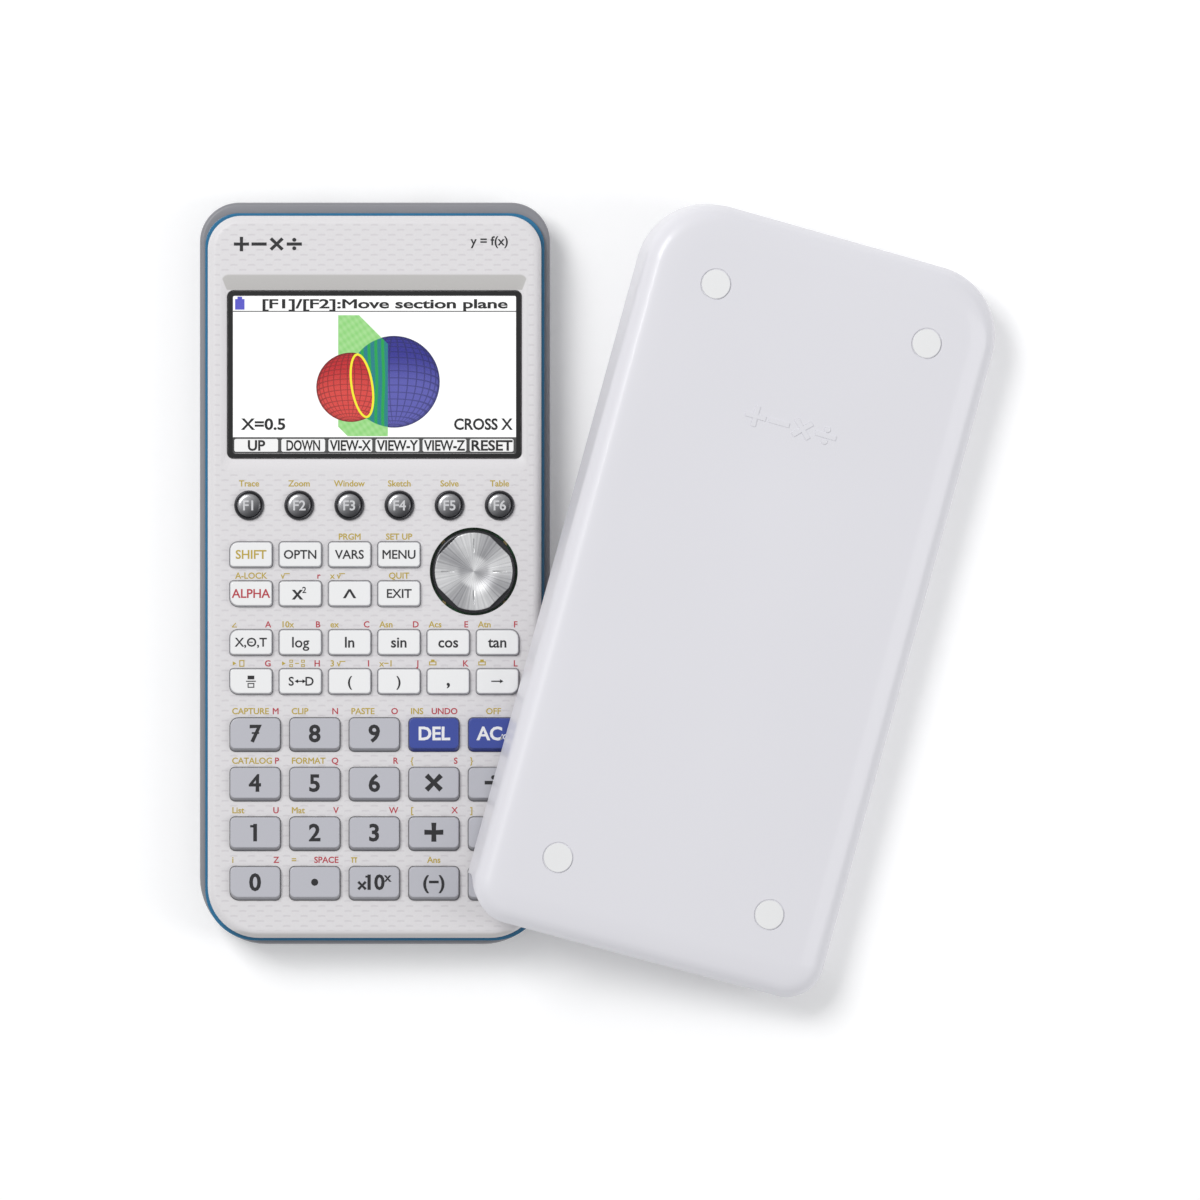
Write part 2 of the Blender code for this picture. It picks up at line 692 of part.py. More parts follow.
def function_keys():
    """Name, place, size and corner radii of each key that isn't round."""
    blocks = (
        ("function", 1, (
            ("shift", "option", "variables", "menu"),
            ("alpha", "square", "power", "exit"),
        )),
        ("function", 3, (
            ("variable_x", "log", "ln", "sin", "cos", "tan"),
            ("fraction", "convert", "open_bracket", "close_bracket", "comma", "arrow"),
        )),
        ("number", 5, (
            ("7", "8", "9", "delete", "on"),
            ("4", "5", "6", "multiply", "divide"),
            ("1", "2", "3", "plus", "minus"),
            ("0", "point", "exponent", "negate", "execute"),
        )),
    )
    for kind, first_row, names in blocks:
        pitch, size, columns = (
            (function_pitch, function_size, 6)
            if kind == "function"
            else (number_pitch, number_size, 5)
        )
        for down, row in enumerate(names):
            for column, name in enumerate(row):
                x = (column - (columns - 1) / 2) * pitch
                above, below = down == 0, down == len(names) - 1
                radii = block_radii(kind, column, columns - 1, above, below)
                yield name, (x, rows[first_row + down], size, radii)


def make_keys(finishes):
    shapes = {}
    for name, (x, y, size, radii) in function_keys():
        number = size == number_size
        kind = "number" if number else "function"
        if name in ("delete", "on"):
            kind = "blue"
        shape = (kind, radii)
        if shape not in shapes:
            shapes[shape] = key_mesh(f"{kind}_key", size, radii)
        add_object(f"key_{name}", shapes[shape], finishes[kind], (x, y, face))
    round_mesh = round_key_mesh()
    for k in range(6):
        place = ((k - 2.5) * round_pitch, round_row, face)
        add_object(f"key_f{k + 1}", round_mesh, finishes["round"], place)


def make_cursor(disc_finish, pivot_finish):
    """The disc tilts on a hidden plunger, both about one point under the disc."""
    low = flange_low + SMALL_GAP - pivot_height
    top = key_top - pivot_height
    socket = PIVOT_RADIUS + PIVOT_CLEARANCE
    socket_top = PIVOT_HEIGHT / 2 + SMALL_GAP + GAP
    profile = (
        (socket, socket_top),
        (socket, low),
        (cursor_radius, low),
        (cursor_radius, top - KEY_RISE * 0.7),
        (cursor_radius * 0.94, top - KEY_RISE * 0.2),
        (cursor_radius * 0.82, top),
        (CURSOR_DISH_RADIUS, top - CURSOR_DISH_DEPTH * 0.3),
        (CURSOR_DISH_RADIUS * 0.8, top - CURSOR_DISH_DEPTH),
    )
    rings = [circle((0, 0), r, z, 28) for r, z in profile]
    centre = (cursor_x, cursor_y, pivot_height)
    disc = loft_mesh("cursor_disc", rings, smooth=True)
    add_object("cursor_disc", disc, disc_finish, centre)
    half = PIVOT_HEIGHT / 2
    plunger = loft_mesh("cursor_pivot", post((0, 0), PIVOT_RADIUS, -half, half, 16), smooth=True)
    add_object("cursor_pivot", plunger, pivot_finish, centre)


def make_restart_button(finish):
    low = RESTART_RECESS
    collar = FLOOR + OVERLAP + GAP
    top = board_low - RESTART_TRAVEL - SMALL_GAP
    profile = (
        (RESTART_RADIUS, low),
        (RESTART_RADIUS, collar),
        (RESTART_COLLAR, collar),
        (RESTART_COLLAR, collar + OVERLAP),
        (RESTART_RADIUS, collar + OVERLAP),
        (RESTART_RADIUS, top),
    )
    rings = [circle((0, 0), r, z, 12) for r, z in profile]
    place = (*RESTART_PLACE, 0)
    add_object("restart_button", loft_mesh("restart_button", rings, smooth=True), finish, place)


def make_connectors(finish):
    """A small board at the head of the case, with a data socket and a link jack on it."""
    wall_y = half_length - taper_inset(PORT_BOARD_HEIGHT) - WALL
    back = bay_high_y + GAP
    corners = (-PORT_BOARD_WIDTH / 2, back, PORT_BOARD_WIDTH / 2, wall_y - GAP)
    shape = loft_mesh("connector_board", block(corners, PORT_BOARD_HEIGHT, port_low))
    board = add_object("connector_board", shape, finish)
    mouth = half_length - taper_inset(port_low + USB_SIZE[1]) - PORT_SETBACK
    sockets = []
    for x, size in ((-PORT_SPREAD / 2, USB_SIZE), (PORT_SPREAD / 2, JACK_SIZE)):
        shell = (x - size[0] / 2, back + OVERLAP, x + size[0] / 2, mouth)
        sockets.append(block(shell, port_low - OVERLAP, port_low + size[1]))
    combine(board, helper("sockets", loft_mesh("sockets", *sockets)), "UNION")


def cover_ring(inset, z, steps=6):
    """A ring about the middle of the cover's outer face; its closed end is at +Y."""
    size = (2 * cover_half, cover_length)
    corners = inset_corners(box_corners((0, 0), size), inset, inset, inset)
    closed = max(COVER_RADIUS_CLOSED - inset, COVER_WALL)
    near = max(COVER_RADIUS_OPEN - inset, COVER_WALL)
    return rounded(corners, (near, near, closed, closed), z, steps)


def make_slide_cover(finish):
    rounding = [
        cover_ring(
            COVER_ROUNDING * (1 - cos(pi / 2 * k / 4)),
            -COVER_ROUNDING * (1 - sin(pi / 2 * k / 4)),
        )
        for k in range(5)
    ]
    rings = [cover_ring(0, -cover_depth), *rounding]
    cover = add_object("slide_cover", loft_mesh("slide_cover", rings), finish)
    lip_top = COVER_LIP_THICKNESS - cover_depth
    hollow = [
        cover_ring(COVER_WALL + COVER_LIP, -cover_depth - REACH),
        cover_ring(COVER_WALL + COVER_LIP, lip_top),
        cover_ring(COVER_WALL, lip_top),
        cover_ring(COVER_WALL, -COVER_PLATE - COVER_CHAMFER),
        cover_ring(COVER_WALL + COVER_CHAMFER, -COVER_PLATE),
    ]
    combine(cover, helper("cover_hollow", loft_mesh("cover_hollow", hollow), cover), "DIFFERENCE")
    low_y = -cover_length / 2
    mouth = (-cover_half - REACH, low_y - REACH, cover_half + REACH, low_y + COVER_RADIUS_OPEN)
    cut = loft_mesh("cover_mouth", block(mouth, -cover_depth - REACH, -COVER_PLATE - COVER_CHAMFER))
    combine(cover, helper("cover_mouth", cut, cover), "DIFFERENCE")
    cover.rotation_euler = (0, cover_tilt, COVER_YAW)
    cover.location = (half_width + cover_half + COVER_SHIFT[0], COVER_SHIFT[1], cover_height)


def main():
    clear_scene()
    white = material("white_plastic", (0.75, 0.74, 0.74), 0.5)
    gray = material("gray_plastic", (0.27, 0.27, 0.29), 0.45)
    blue = material("blue_trim", (0.04, 0.14, 0.28), 0.3)
    window = material("window_plastic", (0.02, 0.02, 0.025), 0.08, alpha=0.5)
    display = material("display_panel", (0.5, 0.55, 0.6), 0.2)
    board = material("green_board", (0.03, 0.18, 0.07), 0.5)
    rubber = material("mat_rubber", (0.25, 0.25, 0.26), 0.8)
    chrome = material("satin_chrome", (0.62, 0.63, 0.65), 0.2, 1.0)
    dark = material("dark_plastic", (0.05, 0.05, 0.06), 0.4)
    cell = material("cell_jacket", (0.12, 0.12, 0.14), 0.35)
    cover = material("cover_plastic", (0.76, 0.76, 0.79), 0.4)
    finishes = {
        "function": material("pale_key", (0.82, 0.82, 0.82), 0.4),
        "number": material("gray_key", (0.5, 0.5, 0.54), 0.4),
        "blue": material("blue_key", (0.03, 0.06, 0.35), 0.4),
        "round": material("smoked_chrome", (0.2, 0.2, 0.22), 0.25, 1.0),
    }
    places = [placed for _, placed in function_keys()]
    make_rear_case(gray)
    make_side_band(blue)
    make_front_case(white, places)
    make_window(window)
    make_display(display)
    make_batteries(cell)
    make_battery_cover(gray)
    make_board(board)
    make_mat(rubber, places)
    make_keys(finishes)
    make_cursor(chrome, dark)
    make_restart_button(dark)
    make_connectors(board)
    make_slide_cover(cover)


main()
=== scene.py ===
# %% [markdown]
# # A graphing calculator and its hard cover
#
# The frame holds the calculator's solids at their real size: cases, keys, display, batteries and
# the loose cover. They are plain, so this lesson makes the fine surface of every piece that shows,
# and each new piece moves with the same body as the solid that it stands for.

# %% Load the frame
from math import cos, pi, radians, sin

import bmesh
import bpy
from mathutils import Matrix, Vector


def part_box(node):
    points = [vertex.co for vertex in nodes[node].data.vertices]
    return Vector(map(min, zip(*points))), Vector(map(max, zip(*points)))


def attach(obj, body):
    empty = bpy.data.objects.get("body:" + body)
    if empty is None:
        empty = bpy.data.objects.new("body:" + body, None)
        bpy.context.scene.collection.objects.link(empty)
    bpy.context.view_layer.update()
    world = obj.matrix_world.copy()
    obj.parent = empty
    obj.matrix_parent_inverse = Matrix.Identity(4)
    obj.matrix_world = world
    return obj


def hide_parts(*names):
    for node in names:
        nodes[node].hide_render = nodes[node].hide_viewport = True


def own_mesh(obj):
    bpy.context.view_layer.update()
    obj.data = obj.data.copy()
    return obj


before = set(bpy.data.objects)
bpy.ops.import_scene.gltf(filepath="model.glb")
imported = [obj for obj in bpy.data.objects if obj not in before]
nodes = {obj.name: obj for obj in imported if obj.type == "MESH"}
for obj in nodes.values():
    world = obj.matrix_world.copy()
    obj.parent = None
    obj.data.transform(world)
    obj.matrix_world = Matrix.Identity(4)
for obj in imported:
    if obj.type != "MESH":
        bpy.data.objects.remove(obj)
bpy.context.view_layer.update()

MM = 0.001
TOUCH = 0.02 * MM  # how near a face lies to a height to count as being at it
GAP = 0.3 * MM
BLACK = (0.0, 0.0, 0.0, 1.0)

# %% [markdown]
# ## Camera, floor and light
#
# The calculator lies on a white table and is seen from straight above through a long lens, so
# nothing leans. One large soft lamp stands at the upper left and a weaker one at the right, and a
# pale room fills the rest. Chrome needs something to mirror, so the room is a little darker than
# the lamps.

# %% Camera, floor and light
CAMERA_PLACE = (57.21 * MM, -6.78 * MM)
CAMERA_HEIGHT = 3.0  # metres above the face
FRAME_WIDTH = 304.26 * MM  # what the picture shows from side to side, at the face
SENSOR = 36.0


def add_camera():
    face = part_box("front_case")[1].z
    bpy.ops.object.camera_add(location=(*CAMERA_PLACE, face + CAMERA_HEIGHT), rotation=(0, 0, 0))
    camera = bpy.context.object
    camera.data.sensor_width = SENSOR
    camera.data.lens = SENSOR * CAMERA_HEIGHT / FRAME_WIDTH
    bpy.context.scene.camera = camera


def add_lamp(name, place, size, power):
    """A square soft lamp aimed at the middle of the picture."""
    aim = Vector((*CAMERA_PLACE, 0)) - Vector(place)
    turn = aim.to_track_quat("-Z", "Y").to_euler()
    bpy.ops.object.light_add(type="AREA", location=place, rotation=turn)
    lamp = bpy.context.object
    lamp.name = name
    lamp.data.shape = "RECTANGLE"
    lamp.data.size, lamp.data.size_y = size
    lamp.data.energy = power


def light_room(strength):
    room = bpy.data.worlds.new("pale_room")
    room.use_nodes = True
    room.node_tree.nodes["Background"].inputs["Color"].default_value = (0.94, 0.95, 0.97, 1)
    room.node_tree.nodes["Background"].inputs["Strength"].default_value = strength
    bpy.context.scene.world = room


bpy.ops.object.select_all(action="DESELECT")
add_camera()
add_lamp("key_lamp", (-0.75, 0.75, 1.5), (0.8, 0.8), 18.0)
add_lamp("side_lamp", (1.3, -0.2, 1.0), (0.5, 1.0), 4.5)
light_room(0.48)
bpy.context.scene.view_settings.view_transform = "Standard"
bpy.ops.mesh.primitive_plane_add(size=4.0, location=(0, 0, -0.1 * MM))
floor = bpy.context.object
floor.name = "floor"
print("camera, two lamps, a room and a floor")

# %% [markdown]
# ## Hand tools
#
# Every piece is shaped as by hand: a primitive is added, faces or edges are picked by where they
# are, and an operator works on what is picked. A few helpers keep that short. An operator acts on
# all that is selected, so each helper clears the selection first.

# %% Hand tools
def deselect():
    bpy.ops.object.select_all(action="DESELECT")


def pick(*pieces):
    deselect()
    for piece in pieces:
        piece.select_set(True)
    bpy.context.view_layer.objects.active = pieces[0]


def keep_new(name):
    """Names the active object and puts its place, turn and size into its mesh."""
    made = bpy.context.object
    made.name = name
    made.data.name = name
    bpy.ops.object.transform_apply(location=True, rotation=True, scale=True)
    return made


def choose(piece, kind, test):
    """Edit mode, with only the faces, edges or points selected that pass a test."""
    if bpy.context.mode == "OBJECT":
        pick(piece)
        bpy.ops.object.mode_set(mode="EDIT")
    bpy.ops.mesh.select_mode(type=kind)
    bpy.ops.mesh.select_all(action="DESELECT")
    shape = bmesh.from_edit_mesh(piece.data)
    parts = {"FACE": shape.faces, "EDGE": shape.edges, "VERT": shape.verts}[kind]
    for part in parts:
        if test(part):
            part.select_set(True)
    bmesh.update_edit_mesh(piece.data)


def close():
    bpy.ops.object.mode_set(mode="OBJECT")


def choose_cap(piece, height, up=True):
    """Picks the flat end of a piece at a height, its top or its underside."""
    way = 1 if up else -1
    choose(
        piece,
        "FACE",
        lambda face: face.normal.z * way > 0.9
        and abs(face.calc_center_median().z - height) < TOUCH,
    )


def climb(*steps):
    """Carries the picked end onwards: each step goes inwards, then along the end's normal."""
    for inward, along in steps:
        bpy.ops.mesh.inset(thickness=inward, depth=along)


def quarter_round(radius, count=5):
    """The steps of a rounded rim, first mostly along and then mostly inwards."""
    turns = [pi / 2 * k / count for k in range(count + 1)]
    return [
        (radius * (cos(low) - cos(high)), radius * (sin(high) - sin(low)))
        for low, high in zip(turns, turns[1:])
    ]


def slide(piece, test, shift):
    """Moves the points that pass a test."""
    choose(piece, "VERT", test)
    bpy.ops.transform.translate(value=shift)


# %% [markdown]
# ## Blocks, posts, cuts and copies
#
# Nearly every moulded piece starts as a block whose upright edges are rounded, each by its own
# radius, or as a short post. A hole is cut with a Boolean and the cutter is thrown away. Rims are
# broken with a narrow bevel, because no moulded edge is knife sharp, and that thin bright line is
# what makes a small piece look real.

# %% Blocks, posts, cuts and copies
def add_block(name, low, high, radii=None, segments=8):
    """A block; radii round its upright edges: near left, near right, far right, far left."""
    low, high = Vector(low), Vector(high)
    deselect()
    bpy.ops.mesh.primitive_cube_add(size=1, location=(low + high) / 2)
    bpy.context.object.scale = high - low
    made = keep_new(name)
    if radii is None:
        return made
    spots = ((low.x, low.y), (high.x, low.y), (high.x, high.y), (low.x, high.y))
    for radius in sorted(set(radii) - {0}):
        wanted = [spot for spot, own in zip(spots, radii) if own == radius]

        def at_corner(edge):
            ends = [vert.co for vert in edge.verts]
            return any(
                all(abs(end.x - x) < TOUCH and abs(end.y - y) < TOUCH for end in ends)
                for x, y in wanted
            )

        choose(made, "EDGE", at_corner)
        bpy.ops.mesh.bevel(offset=radius, segments=segments, affect="EDGES")
    close()
    return made


def add_post(name, centre, radius, low, high, sides=48):
    deselect()
    bpy.ops.mesh.primitive_cylinder_add(
        vertices=sides,
        radius=radius,
        depth=high - low,
        location=(centre[0], centre[1], (low + high) / 2),
    )
    return keep_new(name)


def hollow_through(piece, low, high, wall):
    """Turns a block into a frame: both ends are inset and the two inner faces are bridged."""
    choose(
        piece,
        "FACE",
        lambda face: abs(face.normal.z) > 0.9
        and min(abs(face.calc_center_median().z - z) for z in (low, high)) < TOUCH,
    )
    bpy.ops.mesh.inset(thickness=wall, use_individual=True)
    bpy.ops.mesh.bridge_edge_loops()
    close()
    return piece


def join(name, pieces):
    pick(*pieces)
    bpy.ops.object.join()
    return keep_new(name)


def cut(piece, *cutters, way="DIFFERENCE"):
    """Cuts each cutter out of a piece, then removes it."""
    for cutter in cutters:
        pick(piece)
        step = piece.modifiers.new("cut", "BOOLEAN")
        step.operation = way
        step.solver = "EXACT"
        step.object = cutter
        bpy.ops.object.modifier_apply(modifier=step.name)
        bpy.data.objects.remove(cutter)


def smooth(piece, angle=35):
    pick(piece)
    bpy.ops.object.shade_smooth_by_angle(angle=radians(angle))
    piece.modifiers.new("even", "WEIGHTED_NORMAL").keep_sharp = True
    bpy.ops.object.modifier_apply(modifier="even")


def soften(piece, width, segments=2, angle=50):
    """Breaks the sharp edges of a piece and evens out its shading."""
    pick(piece)
    step = piece.modifiers.new("edge", "BEVEL")
    step.width = width
    step.segments = segments
    step.limit_method = "ANGLE"
    step.angle_limit = radians(angle)
    bpy.ops.object.modifier_apply(modifier=step.name)
    smooth(piece)


def copy_of(piece, name, shift=(0, 0, 0)):
    pick(piece)
    bpy.ops.object.duplicate()
    bpy.context.object.location = shift
    return keep_new(name)


def settle(piece, body, finish, slot=None, stands_for=()):
    """A finished piece gets its material, its body, and the solids that it stands for."""
    piece.data.materials.clear()
    piece.data.materials.append(finish)
    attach(piece, body)
    if stands_for:
        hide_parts(*stands_for)
    return piece


# %% [markdown]
# ## Writing shader maths in Python
#
# A pattern is an expression on coordinates. `Wire` wraps a socket, so that `x * 2 + 1` adds the
# Math nodes itself, and `Finish` is one material with a single method that makes any other node.
# Only colour, roughness, metallic, emission colour and the normal vary over a surface here.

# %% Wires and finishes
class Wire:
    """A socket that Python's operators work on; each operation adds a Math node."""

    def __init__(self, finish, socket):
        self.finish = finish
        self.socket = socket

    def math(self, operation, *others):
        values = dict(enumerate((self, *others)))
        return self.finish.node("ShaderNodeMath", {"operation": operation}, values)

    def __add__(self, other):
        return self.math("ADD", other)

    __radd__ = __add__

    def __sub__(self, other):
        return self.math("SUBTRACT", other)

    def __rsub__(self, other):
        return (self * -1.0) + other

    def __mul__(self, other):
        return self.math("MULTIPLY", other)

    __rmul__ = __mul__

    def __truediv__(self, other):
        return self.math("DIVIDE", other)

    def __pow__(self, power):
        return self.math("POWER", power)

    def band(self, low, high):
        """0 below low, 1 above high, and smooth between."""
        settings = {"interpolation_type": "SMOOTHSTEP"}
        values = {"Value": self, "From Min": low, "From Max": high}
        return self.finish.node("ShaderNodeMapRange", settings, values)


class Finish:
    """A material, and the one method that makes its nodes."""

    def __init__(self, name, **constants):
        self.made = bpy.data.materials.new(name)
        self.made.use_nodes = True
        self.tree = self.made.node_tree
        self.shader = self.tree.nodes["Principled BSDF"]
        for word, value in constants.items():
            self.shader.inputs[word.replace("_", " ").title()].default_value = value

    def node(self, kind, settings=None, values=None, output=0):
        made = self.tree.nodes.new(kind)
        for word, value in (settings or {}).items():
            setattr(made, word, value)
        for place, value in (values or {}).items():
            if isinstance(value, Wire):
                self.tree.links.new(value.socket, made.inputs[place])
            else:
                made.inputs[place].default_value = value
        return Wire(self, made.outputs[output])

    def place(self):
        """The three object coordinates, in millimetres."""
        point = self.node("ShaderNodeTexCoord", output="Object")
        parts = [self.node("ShaderNodeSeparateXYZ", values={0: point}, output=k) for k in range(3)]
        return [part * (1 / MM) for part in parts]

    def noise(self, size, detail=3.0):
        """Smooth grain around 0.5, its coarsest patches of a size in millimetres."""
        point = self.node("ShaderNodeTexCoord", output="Object")
        values = {"Vector": point, "Scale": 1 / (size * MM), "Detail": detail}
        return self.node("ShaderNodeTexNoise", values=values)

    def mix(self, share, first, second):
        """A colour between two, by a share from 0 to 1."""
        values = {0: share, 6: first, 7: second}
        return self.node("ShaderNodeMix", {"data_type": "RGBA"}, values, output=2)

    def feed(self, word, wire):
        self.tree.links.new(wire.socket, self.shader.inputs[word])

    def bump(self, height, depth, strength=1.0):
        """A relief of a depth in millimetres, from a height between 0 and 1."""
        values = {"Strength": strength, "Distance": depth * MM, "Height": height}
        self.feed("Normal", self.node("ShaderNodeBump", values=values))


def paint(code, share=1.0):
    """A colour from its usual six-digit code, as the linear values that a shader works in."""
    parts = [int(code[k : k + 2], 16) / 255 for k in (0, 2, 4)]
    linear = [p / 12.92 if p <= 0.04045 else ((p + 0.055) / 1.055) ** 2.4 for p in parts]
    return (*(value * share for value in linear), 1.0)


# %% [markdown]
# ## Plastics
#
# The casings are injection-moulded. The gray rear has a fine spark-eroded grain, the blue line is
# glossy, and the white face carries rows of short embossed dashes, each row shifted by half a
# step. The dashes are a relief whose colour is a little darker as painted shade, so they show
# without being printed. The slope above the window and the near rim turn away from the light, and
# their gray is painted shade.

# %% Plastics
def plain_plastic(name, code, roughness, grain=0.25, depth=0.01, drift=0.05, **more):
    """Moulded plastic: an even colour that drifts a little, and a fine grain."""
    finish = Finish(name, **more)
    clouds = finish.noise(18.0, 2.0)
    deep = tuple(value * (1 - drift) for value in paint(code)[:3])
    finish.feed("Base Color", finish.mix(clouds, (*deep, 1), paint(code)))
    fine = finish.noise(grain, 2.0)
    finish.feed("Roughness", (fine - 0.5) * 0.12 + (clouds - 0.5) * 0.06 + roughness)
    finish.bump(fine, depth)
    return finish.made


# All in millimetres, as the finishes' coordinates are
DASH_PITCH = 4.45
DASH_ROW = 1.27
DASH_HALF = (1.15, 0.3)
FACE_FLAT = (17.1, 17.18)  # where the rim's rounding ends and the flat face begins
# Where the slope above the window and the near rim are painted grayer, as painted shade
SLOPE_TOP = (17.0, 17.12)  # the slope above the window runs up to this height
SLOPE_START = 71.6
SLOPE_NEAR = (71.7, 72.0)
SLOPE_FAR = (78.0, 79.0)
SLOPE_SIDE = (37.2, 37.5)
SLOPE_SKEW = 0.4  # how much wider the slope grows per millimetre away from the window
RIM_TOP = (16.7, 17.15)
RIM_NEAR = (-91.3, -90.0)


def face_plastic():
    finish = Finish("white_face_plastic", roughness=0.45)
    x, y, z = finish.place()
    row = (y / DASH_ROW).math("FLOOR")
    along = (x / DASH_PITCH + row * 0.5).math("FRACT") - 0.5
    slant = along.math("ABSOLUTE") * 0.3
    across = (y / DASH_ROW).math("FRACT") - 0.5 + slant - 0.07
    wide = 1 - (along.math("ABSOLUTE") * DASH_PITCH).band(DASH_HALF[0] * 0.6, DASH_HALF[0])
    high = 1 - (across.math("ABSOLUTE") * DASH_ROW).band(DASH_HALF[1] * 0.4, DASH_HALF[1])
    dash = wide * high * z.band(*FACE_FLAT)
    fine = finish.noise(0.5, 3.0)
    # Painted shade: the dashes are a little darker than the flat face round them
    pale = finish.mix(dash, paint("E4E2E3"), paint("DAD7D9"))
    shaded = finish.mix(fine, pale, finish.mix(dash, paint("DEDBDD"), paint("D4D0D3")))
    # Painted shade: the slope above the window and the near rim are painted grayer than the face
    beside = (x.math("ABSOLUTE") - (y - SLOPE_START) * SLOPE_SKEW).band(*SLOPE_SIDE)
    slope = (1 - z.band(*SLOPE_TOP)) * y.band(*SLOPE_NEAR) * (1 - beside) * (1 - y.band(*SLOPE_FAR))
    near_rim_shade = (1 - z.band(*RIM_TOP)) * (1 - y.band(*RIM_NEAR)) * 0.8
    framed = finish.mix(slope * 0.9, shaded, paint("BDBBB8"))
    finish.feed("Base Color", finish.mix(near_rim_shade, framed, paint("C2BFBD")))
    finish.feed("Roughness", (fine - 0.5) * 0.15 + 0.48)
    finish.bump(1 - dash + fine * 0.35, 0.04, 0.6)
    return finish.made


gray_finish = plain_plastic("gray_case_plastic", "8B8B90", 0.42)
blue_finish = plain_plastic("blue_band_plastic", "23719B", 0.22, depth=0.003, coat_weight=0.3)
white_finish = face_plastic()
dark_finish = plain_plastic("dark_plastic_grain", "2A2A2D", 0.45)
print("plastics are ready")

# %% [markdown]
# ## Keys' finishes
#
# A key's legend side is pale; its skirt is gray, partly the cap's own colour and partly painted
# shade, and darker towards the foot as painted shade. The border is a matter of height on the key,
# so one pattern serves every key of a kind.

# %% Key finishes
key_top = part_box("key_7")[1].z / MM


def key_finish(name, top, skirt, foot):
    """Pale on top; a gray skirt from just under the rim, partly painted shade, and darker towards
    the foot as painted shade.
    """
    finish = Finish(name, coat_weight=0.15)
    _, _, z = finish.place()
    fine = finish.noise(0.3, 2.0)
    # Painted shade: the skirt is grayer than the top and darkens towards the foot
    side = finish.mix(z.band(key_top - 1.2, key_top - 0.3), paint(foot), paint(skirt))
    finish.feed("Base Color", finish.mix(z.band(key_top - 0.16, key_top - 0.04), side, paint(top)))
    finish.feed("Roughness", (fine - 0.5) * 0.1 + 0.36)
    finish.bump(fine, 0.004)
    return finish.made


pale_finish = key_finish("pale_key_caps", "F1F1F1", "BDBDC1", "A6A6AB")
number_finish = key_finish("gray_key_caps", "BEBEC5", "A6A6AC", "636367")
blue_key_finish = key_finish("blue_key_caps", "384A9E", "2A3A86", "1D2870")
print("key finishes are ready")

# %% [markdown]
# ## The rear case
#
# The rear half is a deep gray tray with a rail round its middle, which the cover's lips run on. It
# could be lofted through outlines, but carrying the ends of one rounded block inwards and down
# keeps every corner in line: a step under the rail, a slope to the back, a small rounding, and
# from above the same steps for the hollow.

# %% Rear case
REAR_RADII = (17 * MM, 17 * MM, 10 * MM, 10 * MM)
RAIL_LOW = 7.8 * MM
RAIL_HIGH = 10.2 * MM
RAIL_ROUNDING = 1.0 * MM
RAIL_INSET = 1.5 * MM
WALL = 1.6 * MM
FLOOR_TOP = 1.5 * MM
BACK_INSET = 5.5 * MM
BACK_ROUNDING = 1.2 * MM
SLOPE_STEPS = 5


def add_rear_case():
    low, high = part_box("rear_case")
    brim = RAIL_HIGH - RAIL_ROUNDING
    case = add_block(
        "rear_shell", (low.x, low.y, RAIL_LOW), (high.x, high.y, brim), REAR_RADII, 14
    )
    choose_cap(case, RAIL_LOW, up=False)
    inward = BACK_INSET - BACK_ROUNDING - RAIL_INSET
    down = RAIL_LOW - BACK_ROUNDING
    climb((RAIL_INSET, 0))
    for k in range(SLOPE_STEPS):
        share = [(1 - cos(pi / 2 * step / SLOPE_STEPS)) for step in (k, k + 1)]
        climb((inward * (share[1] - share[0]), down / SLOPE_STEPS))
    climb(*quarter_round(BACK_ROUNDING, 4))
    choose_cap(case, brim)
    climb(*quarter_round(RAIL_ROUNDING, 5))
    climb((RAIL_INSET + WALL - RAIL_ROUNDING, 0), (0, RAIL_LOW - RAIL_HIGH))
    climb((inward, FLOOR_TOP - RAIL_LOW))
    close()
    return case


rear_shell = add_rear_case()
print("rear shell:", len(rear_shell.data.polygons), "faces")

# %% [markdown]
# ## Openings in the rear case
#
# The battery door's opening, the screw heads' recesses, the restart hole and the two ports in the
# head wall are cut. The cutters are joined first, so that one Boolean cuts them all.

# %% Openings in the rear case
SCREW_HEAD = 2.2 * MM
SCREW_DEPTH = 1.0 * MM
RESTART_RADIUS = 1.5 * MM
door_low, door_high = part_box("battery_cover")
disc_low, disc_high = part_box("cursor_disc")
restart_low, restart_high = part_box("restart_button")
port_low, port_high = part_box("connector_board")
DOOR_TIP = 1.3 * MM  # how far the hooks reach past the door's upper edge
PORT_SPREAD = 26.0 * MM
SOCKET_SIZE = (7.7 * MM, 3.9 * MM)
JACK_SIZE = (6.4 * MM, 4.2 * MM)
SOCKET_FLOOR = 3.2 * MM
screw_places = [
    (side * x, y)
    for x, y in (
        (33.9 * MM, 83.5 * MM),
        (25.4 * MM, 13.7 * MM),
        (33.9 * MM, -34.2 * MM),
        (33.9 * MM, -86.5 * MM),
    )
    for side in (-1, 1)
]
restart_place = ((restart_low.x + restart_high.x) / 2, (restart_low.y + restart_high.y) / 2)


def rear_cutters():
    reach = 3 * MM
    x, low_y, high_y = door_high.x + GAP, door_low.y - GAP, door_high.y - DOOR_TIP + GAP
    yield add_block(
        "doorway", (-x, low_y, -reach), (x, high_y, FLOOR_TOP + reach), (2 * MM,) * 4, 6
    )
    for place in screw_places:
        yield add_post("recess", place, SCREW_HEAD, -reach, SCREW_DEPTH, 32)
    yield add_post("restart_hole", restart_place, RESTART_RADIUS, -reach, FLOOR_TOP + reach, 24)
    for side, size in ((-1, SOCKET_SIZE), (1, JACK_SIZE)):
        middle, half = side * PORT_SPREAD / 2, size[0] / 2 + GAP
        low = (middle - half, port_high.y - reach, SOCKET_FLOOR - GAP)
        high = (middle + half, port_high.y + 3 * reach, SOCKET_FLOOR + size[1] + GAP)
        yield add_block("port", low, high)


